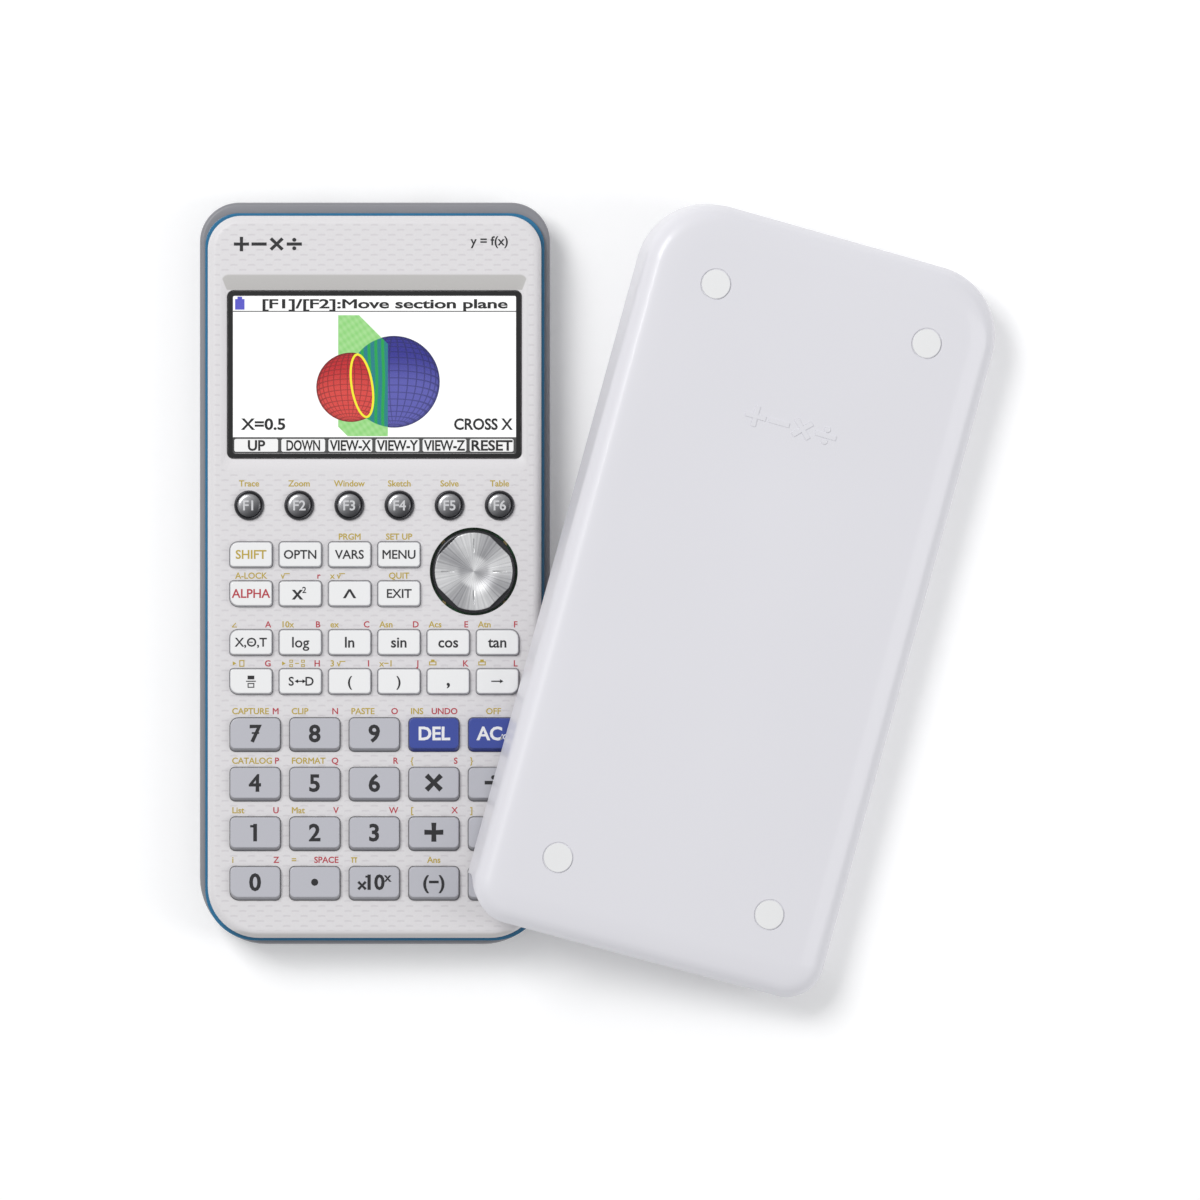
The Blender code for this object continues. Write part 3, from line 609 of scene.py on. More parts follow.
cut(rear_shell, join("rear_cutters", list(rear_cutters())))
soften(rear_shell, 0.15 * MM)
settle(rear_shell, "case", gray_finish, "gray_case", ["rear_case"])
print("rear shell cut:", len(rear_shell.data.polygons), "faces")

# %% [markdown]
# ## Screws
#
# Eight crosshead screws hold the two halves together. One is turned and its cross is cut with two
# slots; the rest are copies. A real head is slightly domed, which two inset steps give.

# %% Screws
screw_steel = Finish("screw_steel", roughness=0.3, metallic=1.0, base_color=paint("B5B6BA"))
steel_grain = screw_steel.noise(0.4, 2.0)
screw_steel.feed("Roughness", (steel_grain - 0.5) * 0.2 + 0.32)
screw_steel.bump(steel_grain, 0.005)


SCREW_AIR = 0.15 * MM
SCREW_SPAN = (0.35 * MM, 0.95 * MM)
SLOT = (2.4 * MM, 0.5 * MM)


def add_screw():
    head = add_post("screw_head", (0, 0), SCREW_HEAD - SCREW_AIR, *SCREW_SPAN, 32)
    choose_cap(head, SCREW_SPAN[0], up=False)
    climb((0.2 * MM, 0.12 * MM), (0.6 * MM, 0.08 * MM))
    close()
    for size in (SLOT, SLOT[::-1]):
        low = (-size[0] / 2, -size[1] / 2, -1 * MM)
        high = (size[0] / 2, size[1] / 2, 0.65 * MM)
        cut(head, add_block("slot", low, high))
    soften(head, 0.05 * MM)
    return head


first_screw = add_screw()
screws = [copy_of(first_screw, "screw", (x, y, 0)) for x, y in screw_places]
bpy.data.objects.remove(first_screw)
case_screws = join("case_screws", screws)
settle(case_screws, "case", screw_steel.made)
print(len(screw_places), "screws")

# %% [markdown]
# ## The battery door
#
# The door lies a hair inside the back. Two hooks at its upper edge hold it, and a row of thin
# ridges at the other end gives the thumb a grip. It moves, so it rides on its own body.

# %% Battery door
RIDGES = 6
RIDGE = (22 * MM, 0.7 * MM, 0.14 * MM)
RIDGE_PITCH = 1.6 * MM
RIDGE_START = 5 * MM
HOOKS = (26 * MM, 6 * MM)
HOOK_LOW = 1.1 * MM
HOOK_HIGH = 2.6 * MM


def add_door():
    edge_y = door_high.y - DOOR_TIP
    low, high = (door_low.x, door_low.y, door_low.z), (door_high.x, edge_y, 1.3 * MM)
    door = add_block("battery_door", low, high, (2 * MM,) * 4, 6)
    soften(door, 0.2 * MM)
    extras = []
    for k in range(RIDGES):
        y = door_low.y + RIDGE_START + k * RIDGE_PITCH
        low = (-RIDGE[0] / 2, y, door_low.z - RIDGE[2])
        high = (RIDGE[0] / 2, y + RIDGE[1], door_low.z + 0.3 * MM)
        ridge = add_block("ridge", low, high)
        soften(ridge, 0.06 * MM)
        extras.append(ridge)
    for side in (-1, 1):
        middle = side * HOOKS[0] / 2
        left, right = middle - HOOKS[1] / 2, middle + HOOKS[1] / 2
        low = (left, edge_y - HOOK_HIGH, HOOK_LOW)
        foot = add_block("hook", low, (right, edge_y - GAP, HOOK_HIGH))
        choose(foot, "FACE", lambda face: face.normal.y > 0.9)
        climb((0, 0))
        bpy.ops.transform.resize(value=(1, 1, 0.5), center_override=(middle, edge_y, HOOK_HIGH))
        climb((0, DOOR_TIP + GAP))
        close()
        extras.append(foot)
    return join("battery_door", [door, *extras])


battery_door = add_door()
settle(battery_door, "battery_cover", gray_finish, "gray_case", ["battery_cover"])
print("battery door with", RIDGES, "ridges and two hooks")

# %% [markdown]
# ## Batteries in their bay
#
# Four AAA cells lie head to tail behind the display. A cell is a steel can in a printed sleeve:
# the sleeve is rolled over both rims, and a raised button stands at the positive end. One cell is
# turned and copied, every second one turned round. Folded plates join them in pairs.

# %% Batteries in their bay
cells_low, cells_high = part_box("batteries")
CELLS = 4
CELL_RADIUS = 5.25 * MM
CELL_HALF = 22.25 * MM
BUTTON_HEIGHT = 0.8 * MM
cell_axis_z = (cells_low.z + cells_high.z) / 2
cells_middle = (cells_low.y + cells_high.y) / 2


def sleeve_finish():
    finish = Finish("cell_sleeve", roughness=0.3, coat_weight=0.4)
    _, y, _ = finish.place()
    from_middle = (y - cells_middle / MM).math("ABSOLUTE")
    steel = from_middle.band(21.9, 22.0)
    stripe = 1 - (from_middle - 14.0).math("ABSOLUTE").band(1.9, 2.1)
    wrap = finish.mix(stripe, paint("2C2F38"), paint("B9BCC4"))
    finish.feed("Base Color", finish.mix(steel, wrap, paint("C8C8CA")))
    finish.feed("Metallic", steel)
    finish.feed("Roughness", finish.noise(1.5) * 0.15 + 0.22)
    return finish.made


def add_cell():
    """A cell standing on its flat end, then laid along Y."""
    cell = add_post("cell", (0, 0), CELL_RADIUS, -CELL_HALF, CELL_HALF, 40)
    choose_cap(cell, CELL_HALF)
    climb((0.35 * MM, 0.25 * MM), (0.3 * MM, -0.3 * MM), (2.7 * MM, 0), (0, BUTTON_HEIGHT))
    climb((0.3 * MM, 0.1 * MM))
    choose_cap(cell, -CELL_HALF, up=False)
    climb((0.35 * MM, 0.1 * MM), (0.3 * MM, -0.2 * MM))
    close()
    soften(cell, 0.08 * MM)
    return cell


def add_batteries():
    upright = add_cell()
    pitch = (cells_high.x - cells_low.x - 2 * CELL_RADIUS) / (CELLS - 1)
    made = []
    for k in range(CELLS):
        cell = copy_of(upright, "cell_copy")
        cell.rotation_euler = (radians(-90 if k % 2 else 90), 0, 0)
        cell.location = ((k - (CELLS - 1) / 2) * pitch, cells_middle, cell_axis_z)
        pick(cell)
        made.append(keep_new("cell_copy"))
    bpy.data.objects.remove(upright)
    return join("battery_cells", made), pitch


battery_cells, cell_pitch = add_batteries()
settle(battery_cells, "case", sleeve_finish(), "cell_jacket", ["batteries"])


PLATE_REACH = (0.1 * MM, 0.5 * MM)
PLATE_HALF = 3.5 * MM
PLATE_SHARE = 0.8  # a plate reaches this share of the pitch to each side


def add_contacts():
    plates = []
    for k in range(CELLS - 1):
        middle = (k + 1 - CELLS / 2) * cell_pitch
        way = -1 if k % 2 else 1
        near, far = (CELL_HALF + BUTTON_HEIGHT + step for step in PLATE_REACH)
        ys = sorted(cells_middle + way * y for y in (near, far))
        low = (middle - PLATE_SHARE * cell_pitch, ys[0], cell_axis_z - PLATE_HALF)
        high = (middle + PLATE_SHARE * cell_pitch, ys[1], cell_axis_z + PLATE_HALF)
        plate = add_block("plate", low, high)
        soften(plate, 0.12 * MM)
        plates.append(plate)
    return join("battery_contacts", plates)


battery_contacts = add_contacts()
settle(battery_contacts, "case", screw_steel.made, "cell_jacket")


BAY_MARGIN = 2.1 * MM
BAY_TOP = 11.8 * MM


def add_bay():
    """The wall round the cells, which keeps them off the display's back."""
    low = (door_low.x - BAY_MARGIN, door_low.y - BAY_MARGIN, FLOOR_TOP)
    high = (door_high.x + BAY_MARGIN, door_high.y + BAY_MARGIN, BAY_TOP)
    bay = add_block("battery_bay", low, high, (1.5 * MM,) * 4, 4)
    hollow_through(bay, low[2], high[2], 1.2 * MM)
    soften(bay, 0.15 * MM)
    return bay


battery_bay = add_bay()
settle(battery_bay, "case", gray_finish, "gray_case")
print(CELLS, "cells,", CELLS - 1, "plates and the bay's wall")

# %% [markdown]
# ## Ports
#
# At the head a small green board carries a data socket, a folded steel shell with a tongue in it,
# and a round link jack in a black block. Both sit just inside their openings.

# %% Ports
def board_finish():
    """Green lacquer over copper tracks: slightly raised lines on a fine grid, and round pads."""
    finish = Finish("green_board", roughness=0.35, coat_weight=0.3)
    x, y, _ = finish.place()
    wander = finish.noise(6.0, 1.0) * 6.0
    lines = ((x + wander.math("FLOOR") * 1.3) / 1.3).math("FRACT").band(0.55, 0.7)
    cross = ((y + wander.math("FLOOR") * 1.7) / 1.7).math("FRACT").band(0.6, 0.75)
    pads_x = ((x / 3.9).math("FRACT") - 0.5) ** 2.0
    pads_y = ((y / 5.1).math("FRACT") - 0.5) ** 2.0
    pad = 1 - (pads_x + pads_y).band(0.02, 0.025)
    copper = lines * (1 - cross)
    green = finish.mix(copper, paint("0E5A2C"), paint("2A8047"))
    finish.feed("Base Color", finish.mix(pad, green, paint("C9B37A")))
    finish.feed("Metallic", pad * 0.8)
    finish.feed("Roughness", pad * 0.1 + 0.33)
    finish.bump(copper * 0.5 + pad, 0.03)
    return finish.made


board_green = board_finish()


def add_ports():
    low = (port_low.x, port_low.y, port_low.z)
    plate = add_block("port_board", low, (port_high.x, port_high.y - 1.5 * MM, SOCKET_FLOOR))
    soften(plate, 0.08 * MM)
    x, width, height = -PORT_SPREAD / 2, *SOCKET_SIZE
    low = (x - width / 2, port_low.y + 1 * MM, SOCKET_FLOOR)
    high = (x + width / 2, port_high.y, SOCKET_FLOOR + height)
    shell = add_block("data_socket", low, high)
    choose(shell, "FACE", lambda face: face.normal.y > 0.9)
    climb((0.35 * MM, 0), (0, -5 * MM))
    close()
    soften(shell, 0.08 * MM)
    middle = SOCKET_FLOOR + height / 2
    low = (x - width / 3, port_high.y - 5.5 * MM, middle - 0.4 * MM)
    tongue = add_block("tongue", low, (x + width / 3, port_high.y - 0.6 * MM, middle + 0.4 * MM))
    soften(tongue, 0.08 * MM)
    x, width, height = PORT_SPREAD / 2, *JACK_SIZE
    low = (x - width / 2, port_low.y + 1 * MM, SOCKET_FLOOR)
    jack = add_block("link_jack", low, (x + width / 2, port_high.y, SOCKET_FLOOR + height))
    deselect()
    bpy.ops.mesh.primitive_cylinder_add(
        vertices=32, radius=1.3 * MM, depth=12 * MM, rotation=(pi / 2, 0, 0),
        location=(x, port_high.y, SOCKET_FLOOR + height / 2),
    )
    cut(jack, keep_new("bore"))
    soften(jack, 0.12 * MM)
    return plate, shell, tongue, jack


port_board, data_socket, socket_tongue, link_jack = add_ports()
settle(port_board, "case", board_green, "board", ["connector_board"])
settle(data_socket, "case", screw_steel.made)
settle(socket_tongue, "case", dark_finish, "dark_plastic")
settle(link_jack, "case", dark_finish, "dark_plastic")
print("data socket and link jack")

# %% [markdown]
# ## The blue line
#
# A thin glossy blue ring is caught between the two halves. It is a rounded block made into a
# frame, and only its outer edge shows.

# %% Blue line
def add_band():
    low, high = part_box("side_band")
    band = add_block("blue_line", low, high, (13 * MM, 13 * MM, 8.5 * MM, 8.5 * MM), 14)
    hollow_through(band, low.z, high.z, 2.0 * MM)
    soften(band, 0.12 * MM)
    return band


blue_line = add_band()
settle(blue_line, "case", blue_finish, "blue_band", ["side_band"])
print("blue line")

# %% [markdown]
# ## The keys' places
#
# Each key's solid says where it is. Its flange, which keeps it from falling out, is wider than the
# part that shows by one lip all round. Corners at the ends of a block of keys are rounder, so a
# key's four radii say which mould it comes from.

# %% Key places
KEY_LIP = 0.6 * MM
SMALL_RADIUS = {"function": 1.0 * MM, "number": 1.3 * MM}
OUTER_RADIUS = 2.2 * MM
face_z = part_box("front_case")[1].z
key_rows = {
    "function": (
        ("shift", "option", "variables", "menu"),
        ("alpha", "square", "power", "exit"),
        ("variable_x", "log", "ln", "sin", "cos", "tan"),
        ("fraction", "convert", "open_bracket", "close_bracket", "comma", "arrow"),
    ),
    "number": (
        ("7", "8", "9", "delete", "on"),
        ("4", "5", "6", "multiply", "divide"),
        ("1", "2", "3", "plus", "minus"),
        ("0", "point", "exponent", "negate", "execute"),
    ),
}
# Which corner of a key is an outer one: near left, near right, far right, far left
outer_corners = {
    "shift": 3, "alpha": 0, "variable_x": 3, "tan": 2, "fraction": 0, "arrow": 1,
    "7": 3, "on": 2, "0": 0, "execute": 1,
}
round_keys = [f"f{k}" for k in range(1, 7)]


def key_centre(name):
    low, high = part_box(f"key_{name}")
    return Vector(((low.x + high.x) / 2, (low.y + high.y) / 2))


def key_size(name):
    low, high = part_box(f"key_{name}")
    return high.x - low.x - 2 * KEY_LIP, high.y - low.y - 2 * KEY_LIP


def key_radii(kind, name):
    radii = [SMALL_RADIUS[kind]] * 4
    if name in outer_corners:
        radii[outer_corners[name]] = OUTER_RADIUS
    return tuple(radii)


square_keys = [(kind, name) for kind, rows in key_rows.items() for row in rows for name in row]
print(len(square_keys), "square keys and", len(round_keys), "round keys")

# %% [markdown]
# ## The white face
#
# The front half is one rounded block with a soft rim, hollow underneath. Above the display its
# inside is shallower, to hold the window. The key holes are cut through in one go, and the sloped
# frame round the window comes from one stepped cutter: a wide block whose lower end is moved in
# on each side by its own amount, and then carried down to the ledge.

# %% White face
FACE_RADII = (13 * MM, 13 * MM, 8.5 * MM, 8.5 * MM)
FACE_ROUNDING = 2.3 * MM
LEDGE_HIGH = 15.1 * MM
LEDGE_LOW = 14.6 * MM
FACE_UNDER = 15.6 * MM
FIT = 0.1 * MM  # the air round a key in its hole
BEZEL = (1.75 * MM, 4.8 * MM, 3.6 * MM)  # sides, top, bottom
window_low, window_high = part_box("display_window")
window_middle = (window_low + window_high) / 2
mat_far_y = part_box("key_mat")[1].y


def add_front_block():
    low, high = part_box("front_case")
    brim = high.z - FACE_ROUNDING
    face = add_block("white_face", low, (high.x, high.y, brim), FACE_RADII, 14)
    choose_cap(face, brim)
    climb(*quarter_round(FACE_ROUNDING, 7))
    choose_cap(face, low.z, up=False)
    climb((WALL, 0), (0, low.z - LEDGE_LOW))
    close()
    return face, low, high


def key_hole(kind, name):
    (x, y), (width, length) = key_centre(name), key_size(name)
    low = (x - width / 2 - FIT, y - length / 2 - FIT, FACE_UNDER - 1 * MM)
    high = (x + width / 2 + FIT, y + length / 2 + FIT, face_z + 1 * MM)
    radii = [radius + FIT for radius in key_radii(kind, name)]
    return add_block("hole", low, high, radii, 5)


def window_cutter():
    side, top, bottom = BEZEL
    low = (window_low.x - side, window_low.y - bottom, face_z)
    high = (window_high.x + side, window_high.y + top, face_z + 2 * MM)
    cutter = add_block("window_cutter", low, high, (1.75 * MM,) * 4, 6)
    choose_cap(cutter, face_z, up=False)
    climb((0, face_z - window_high.z))
    seat = window_high.z
    for test, shift in (
        (lambda v: v.co.x < 0, (side - GAP, 0, 0)),
        (lambda v: v.co.x > 0, (GAP - side, 0, 0)),
        (lambda v: v.co.y < window_middle.y, (0, bottom - GAP, 0)),
        (lambda v: v.co.y > window_middle.y, (0, GAP - top, 0)),
    ):
        slide(cutter, lambda v: abs(v.co.z - seat) < TOUCH and test(v), shift)
    choose_cap(cutter, seat, up=False)
    climb((0, seat - LEDGE_HIGH), (1.5 * MM, 0), (0, LEDGE_HIGH - LEDGE_LOW + 1 * MM))
    close()
    return cutter


def add_white_face():
    face, low, high = add_front_block()
    inner = WALL + 0.1 * MM
    space_low = (low.x + inner, low.y + inner, LEDGE_LOW - 1 * MM)
    space_high = (high.x - inner, mat_far_y, FACE_UNDER)
    cut(face, add_block("key_space", space_low, space_high, (11 * MM, 11 * MM, 0, 0), 8))
    holes = [key_hole(kind, name) for kind, name in square_keys]
    for name in round_keys:
        radius = (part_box(f"key_{name}")[1].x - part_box(f"key_{name}")[0].x) / 2 - KEY_LIP + FIT
        holes.append(add_post("hole", key_centre(name), radius, FACE_UNDER - MM, face_z + MM, 48))
    disc = (disc_low + disc_high) / 2
    radius = (disc_high.x - disc_low.x) / 2 + 0.6 * MM
    holes.append(add_post("hole", disc, radius, FACE_UNDER - MM, face_z + MM, 96))
    cut(face, join("holes", holes), window_cutter())
    soften(face, 0.18 * MM, 3)
    return face


white_face = add_white_face()
settle(white_face, "case", white_finish, "white_face", ["front_case"])
print("white face:", len(white_face.data.polygons), "faces")

# %% [markdown]
# ## Square keys
#
# A key could be scaled from one template, but that would stretch its corners. Each is carried up
# from its own flange instead, by the same few steps: in by the lip, up through the hole, a little
# draft, and a rounded rim. The near side leans back, as on the real caps, so that it shows as a
# dark strip below each number key; that dark is partly the skirt's colour and partly painted shade.
# Keys of one mould are copies of the first.

# %% Square keys
KEY_FOOT = 14.9 * MM
FLANGE_TOP = 15.3 * MM
KEY_RIM = 0.3 * MM
LEAN = {"function": 0.15 * MM, "number": 0.62 * MM}
SPREAD = {"function": 0.18 * MM, "number": 0.12 * MM}


def add_key(kind, name):
    """One key round the origin, as wide as its solid."""
    width, length = key_size(name)
    x, y = width / 2 + KEY_LIP, length / 2 + KEY_LIP
    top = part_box(f"key_{name}")[1].z
    radii = [radius + KEY_LIP for radius in key_radii(kind, name)]
    key = add_block("key", (-x, -y, KEY_FOOT), (x, y, FLANGE_TOP), radii, 5)
    choose_cap(key, FLANGE_TOP)
    shoulder = top - KEY_RIM - 0.75 * MM
    brim = top - KEY_RIM
    climb((KEY_LIP, 0), (0, shoulder - FLANGE_TOP), (SPREAD[kind], brim - shoulder))
    slide(key, lambda v: abs(v.co.z - brim) < TOUCH and v.co.y < 0, (0, LEAN[kind], 0))
    choose_cap(key, brim)
    climb(*quarter_round(KEY_RIM, 3))
    close()
    smooth(key)
    return key


key_finishes = {"function": pale_finish, "number": number_finish}
moulds = {}
for kind, name in square_keys:
    mould = (kind, key_radii(kind, name))
    if mould not in moulds:
        moulds[mould] = add_key(kind, name)
    piece = copy_of(moulds[mould], f"{name}_cap", (*key_centre(name), 0))
    blue = name in ("delete", "on")
    finish = blue_key_finish if blue else key_finishes[kind]
    slot = "blue_key" if blue else {"function": "pale_key", "number": "gray_key"}[kind]
    settle(piece, f"key_{name}", finish, slot, [f"key_{name}"])
for spare in moulds.values():
    bpy.data.objects.remove(spare)
print(len(square_keys), "square keys from", len(moulds), "moulds")

# %% [markdown]
# ## Lettering
#
# Legends are letters of the built-in font, drawn a thousand times too large so that their fine
# outlines fill well, turned to mesh, welded, and only then shrunk and laid in place. They are
# sunk a little into what carries them, as printing has no step of its own that shows.

# %% Lettering
CAPITAL = 0.686  # height of a capital letter in a font of size 1
PRINT_UP = 0.025 * MM
PRINT_DOWN = 0.05 * MM
LETTER_DEPTH = 10.0


def write(words, height, spot, base, align="CENTER", bold=0.02, fit=None, up=PRINT_UP):
    """Closed letters in millimetre sizes; the spot is the middle of the capitals' height."""
    deselect()
    bpy.ops.object.text_add()
    made = bpy.context.object
    size = height / CAPITAL
    made.data.body = words
    made.data.size = size
    made.data.align_x = align
    made.data.extrude = LETTER_DEPTH / 2
    made.data.resolution_u = 3
    bpy.ops.object.convert(target="MESH")
    wide = fit / made.dimensions.x if fit else 1.0
    choose(made, "VERT", lambda v: True)
    bpy.ops.mesh.remove_doubles(threshold=0.004 * size)
    if bold:
        bpy.ops.transform.shrink_fatten(value=bold * size, use_even_offset=True)
    deep = (up + PRINT_DOWN) / (LETTER_DEPTH + 2 * bold * size)
    bpy.ops.transform.resize(value=(wide * MM, MM, deep), center_override=(0, 0, 0))
    middle = base + (up - PRINT_DOWN) / 2
    bpy.ops.transform.translate(value=(spot[0], spot[1] - height / 2 * MM, middle))
    close()
    return made


def tile(spot, size, base, hole=0.0):
    """A thin printed rectangle, with an open middle if it has a line's width."""
    x, y = spot
    half = (size[0] / 2 * MM, size[1] / 2 * MM)
    low, high = base - PRINT_DOWN, base + PRINT_UP
    made = add_block("tile", (x - half[0], y - half[1], low), (x + half[0], y + half[1], high))
    return hollow_through(made, low, high, hole * MM) if hole else made


def ink(name, code, **more):
    """Printed ink, which is a little uneven."""
    finish = Finish(name, **more)
    patches = finish.noise(0.6, 3.0)
    weak = tuple(value * 0.85 for value in paint(code)[:3])
    finish.feed("Base Color", finish.mix(patches, (*weak, 1), paint(code)))
    finish.feed("Roughness", patches * 0.15 + 0.4)
    return finish.made


inks = {
    "dark": ink("dark_ink", "1E1E22"),
    "white": ink("white_ink", "F4F4F6"),
    "yellow": ink("yellow_ink", "C3A93A"),
    "red": ink("red_ink", "BE3442"),
}
print("four inks")

# %% [markdown]
# ## Legends on the keys
#
# Each key's legend is one piece that moves with the key. A legend is a list of marks: words, the
# height of a capital, and how far from the key's middle they stand, all in millimetres.

# %% Legends on the keys
WORD = 2.15
DIGIT = 4.1
key_words = {
    "shift": [("SHIFT", WORD, 0, 0)],
    "option": [("OPTN", WORD, 0, 0)],
    "variables": [("VARS", WORD, 0, 0)],
    "menu": [("MENU", WORD, 0, 0)],
    "alpha": [("ALPHA", WORD, 0, 0)],
    "square": [("x", 3.5, -0.7, 0.3), ("2", 1.5, 1.0, 0.9)],
    "power": [("^", 4.0, 0, -0.9, 3.4)],
    "exit": [("EXIT", WORD, 0, 0)],
    "variable_x": [("X,O,T", WORD, 0, 0)],
    "log": [("log", 2.6, 0, 0)],
    "ln": [("ln", 2.6, 0, 0)],
    "sin": [("sin", 2.6, 0, 0)],
    "cos": [("cos", 2.6, 0, 0)],
    "tan": [("tan", 2.6, 0, 0)],
    "convert": [("S", WORD, -2.3, 0), ("D", WORD, 2.3, 0)],
    "open_bracket": [("(", 2.5, 0, 0)],
    "close_bracket": [(")", 2.5, 0, 0)],
    "comma": [(",", 3.4, 0, 0.6)],
    **{str(k): [(str(k), DIGIT, 0, 0)] for k in range(10)},
    "delete": [("DEL", 3.2, 0, 0)],
    "on": [("AC", 3.2, -0.9, 0), ("/ON", 1.3, 3.6, -0.9)],
    "multiply": [("×", 6.2, 0, 0)],
    "divide": [("÷", 6.2, 0, 0)],
    "plus": [("+", 6.2, 0, 0)],
    "minus": [("−", 6.2, 0, 0)],
    "point": [("•", 4.0, 0, 0)],
    "exponent": [("×", 3.2, -3.1, -0.9), ("10", 3.6, 0, 0), ("x", 2.2, 3.4, 1.3)],
    "negate": [("(−)", 3.2, 0, 0)],
    "execute": [("EXE", 3.2, 0, 0)],
}
word_inks = {"shift": "yellow", "alpha": "red", "delete": "white", "on": "white"}
bold_words = {"number": 0.03, "function": 0.018, "log": 0.012, "power": 0.0, "divide": 0.01}


def arrowhead(spot, way, base):
    """A printed triangle pointing left or right."""
    deselect()
    bpy.ops.mesh.primitive_cylinder_add(
        vertices=3,
        radius=0.6 * MM,
        depth=PRINT_UP + PRINT_DOWN,
        location=(*spot, base + (PRINT_UP - PRINT_DOWN) / 2),
        rotation=(0, 0, -way * pi / 2),
    )
    return keep_new("arrowhead")


def drawn_marks(name, x, y, base):
    """The marks that are drawn and not written."""
    if name == "variable_x":
        yield tile((x - 0.02 * MM, y), (0.95, 0.26), base)
    if name == "convert":
        yield tile((x, y), (1.7, 0.32), base)
        for way in (-1, 1):
            yield arrowhead((x + way * 0.85 * MM, y), way, base)
    if name == "arrow":
        yield tile((x - 0.5 * MM, y), (2.2, 0.32), base)
        yield arrowhead((x + 0.9 * MM, y), 1, base)
    if name == "fraction":
        yield tile((x, y + 0.95 * MM), (1.7, 0.95), base)
        yield tile((x, y), (2.5, 0.26), base)
        yield tile((x, y - 1.05 * MM), (1.7, 1.2), base, 0.25)
    if name == "1":
        yield tile((x - 0.75 * MM, y + 1.6 * MM), (1.0, 0.6), base)
    if name == "exponent":
        yield tile((x - 1.9 * MM, y + 1.4 * MM), (0.7, 0.5), base)
    if name == "7":
        yield tile((x + 0.1 * MM, y + 0.1 * MM), (1.9, 0.42), base)


for kind, name in square_keys:
    x, y = key_centre(name)
    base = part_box(f"key_{name}")[1].z
    y += LEAN[kind] / 2
    bold = bold_words.get(name, bold_words[kind])
    marks = [
        write(words, height, (x + dx * MM, y + dy * MM), base, bold=bold, fit=(*fit, None)[0])
        for words, height, dx, dy, *fit in key_words.get(name, ())
    ]
    legend = join(f"{name}_legend", marks + list(drawn_marks(name, x, y, base)))
    settle(legend, f"key_{name}", inks[word_inks.get(name, "dark")])
print("a legend on each square key")

# %% [markdown]
# ## Round keys
#
# The six keys under the display are smoked chrome buttons: a dark turned rim with a shallow groove
# inside it, and a domed cap with its number raised on it. Turning the profile upwards with insets
# keeps every ring round. The cap is painted lighter towards the upper left, a painted highlight
# from the lamp at the upper left.

# %% Round keys
ROUND_HEAD = 3.7 * MM
round_places = [key_centre(name) for name in round_keys]
round_pitch = round_places[1].x - round_places[0].x


def round_finish():
    finish = Finish("smoked_chrome_caps", roughness=0.3, metallic=0.85)
    x, y, _ = finish.place()
    step = (x - round_places[0].x / MM) / (round_pitch / MM) + 0.5
    across = (step.math("FRACT") - 0.5) * (round_pitch / MM)
    up = y - round_places[0].y / MM
    far = (across**2.0 + up**2.0) ** 0.5
    # Painted highlight: the cap is lighter towards the upper left, where the key lamp stands
    lit = (up * 0.8 - across * 0.6 + 0.4).band(-2.6, 3.0)
    cap = finish.mix(lit, paint("515154"), paint("B9B9BB"))
    rim = finish.mix(far.band(2.95, 3.1), cap, paint("3A3A3D"))
    outer = finish.mix(far.band(3.45, 3.65), rim, paint("6A6A6D"))
    finish.feed("Base Color", outer)
    finish.feed("Roughness", finish.noise(0.4) * 0.15 + 0.2)
    return finish.made


def add_round_key():
    low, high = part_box("key_f1")
    radius = (high.x - low.x) / 2
    brim = high.z - 0.75 * MM
    key = add_post("round_key", (0, 0), radius, KEY_FOOT, FLANGE_TOP, 64)
    choose_cap(key, FLANGE_TOP)
    climb((radius - ROUND_HEAD, 0), (0, brim - FLANGE_TOP), (0.08 * MM, 0.16 * MM))
    climb((0.2 * MM, 0.1 * MM), (0.22 * MM, -0.04 * MM), (0.14 * MM, -0.22 * MM))
    climb((0.16 * MM, 0.3 * MM), (0.3 * MM, 0.18 * MM))
    for k in range(5):
        climb((0.48 * MM, 0.05 * MM * (1 - k / 5)))
    close()
    smooth(key, 50)
    return key, brim + 0.48 * MM


first_round, round_top = add_round_key()
chrome_caps = round_finish()
raised_ink = ink("raised_legend", "D9D9DB", metallic=0.3)
for name, place in zip(round_keys, round_places):
    cap = copy_of(first_round, f"{name}_cap", (*place, 0))
    settle(cap, f"key_{name}", chrome_caps, "smoked_chrome", [f"key_{name}"])
    words = write(name.upper(), 2.4, place, round_top, up=0.2 * MM)
    words.name = f"{name}_legend"
    settle(words, f"key_{name}", raised_ink)
bpy.data.objects.remove(first_round)
print(len(round_keys), "round keys")

# %% [markdown]
# ## The cursor disc
#
# A chromed plate with four flattened corners sits in a dark smoked ring. Its middle is a pillow
# hollow, and a fine groove points each way. The plate is a post with four slices taken off, its
# rim is beveled, and its surface is carried inwards in steps; the grooves are cut last.

# %% Cursor disc
disc_middle = (disc_low + disc_high) / 2
disc_radius = (disc_high.x - disc_low.x) / 2
disc_top = disc_high.z
PLATE_RADIUS = 9.86 * MM
PLATE_FLAT = 9.2 * MM
PLATE_RIM = 0.3 * MM
RING_DROP = 1.6 * MM  # how far the dark ring's brim lies below the disc's top
HOLLOW_RINGS = 9


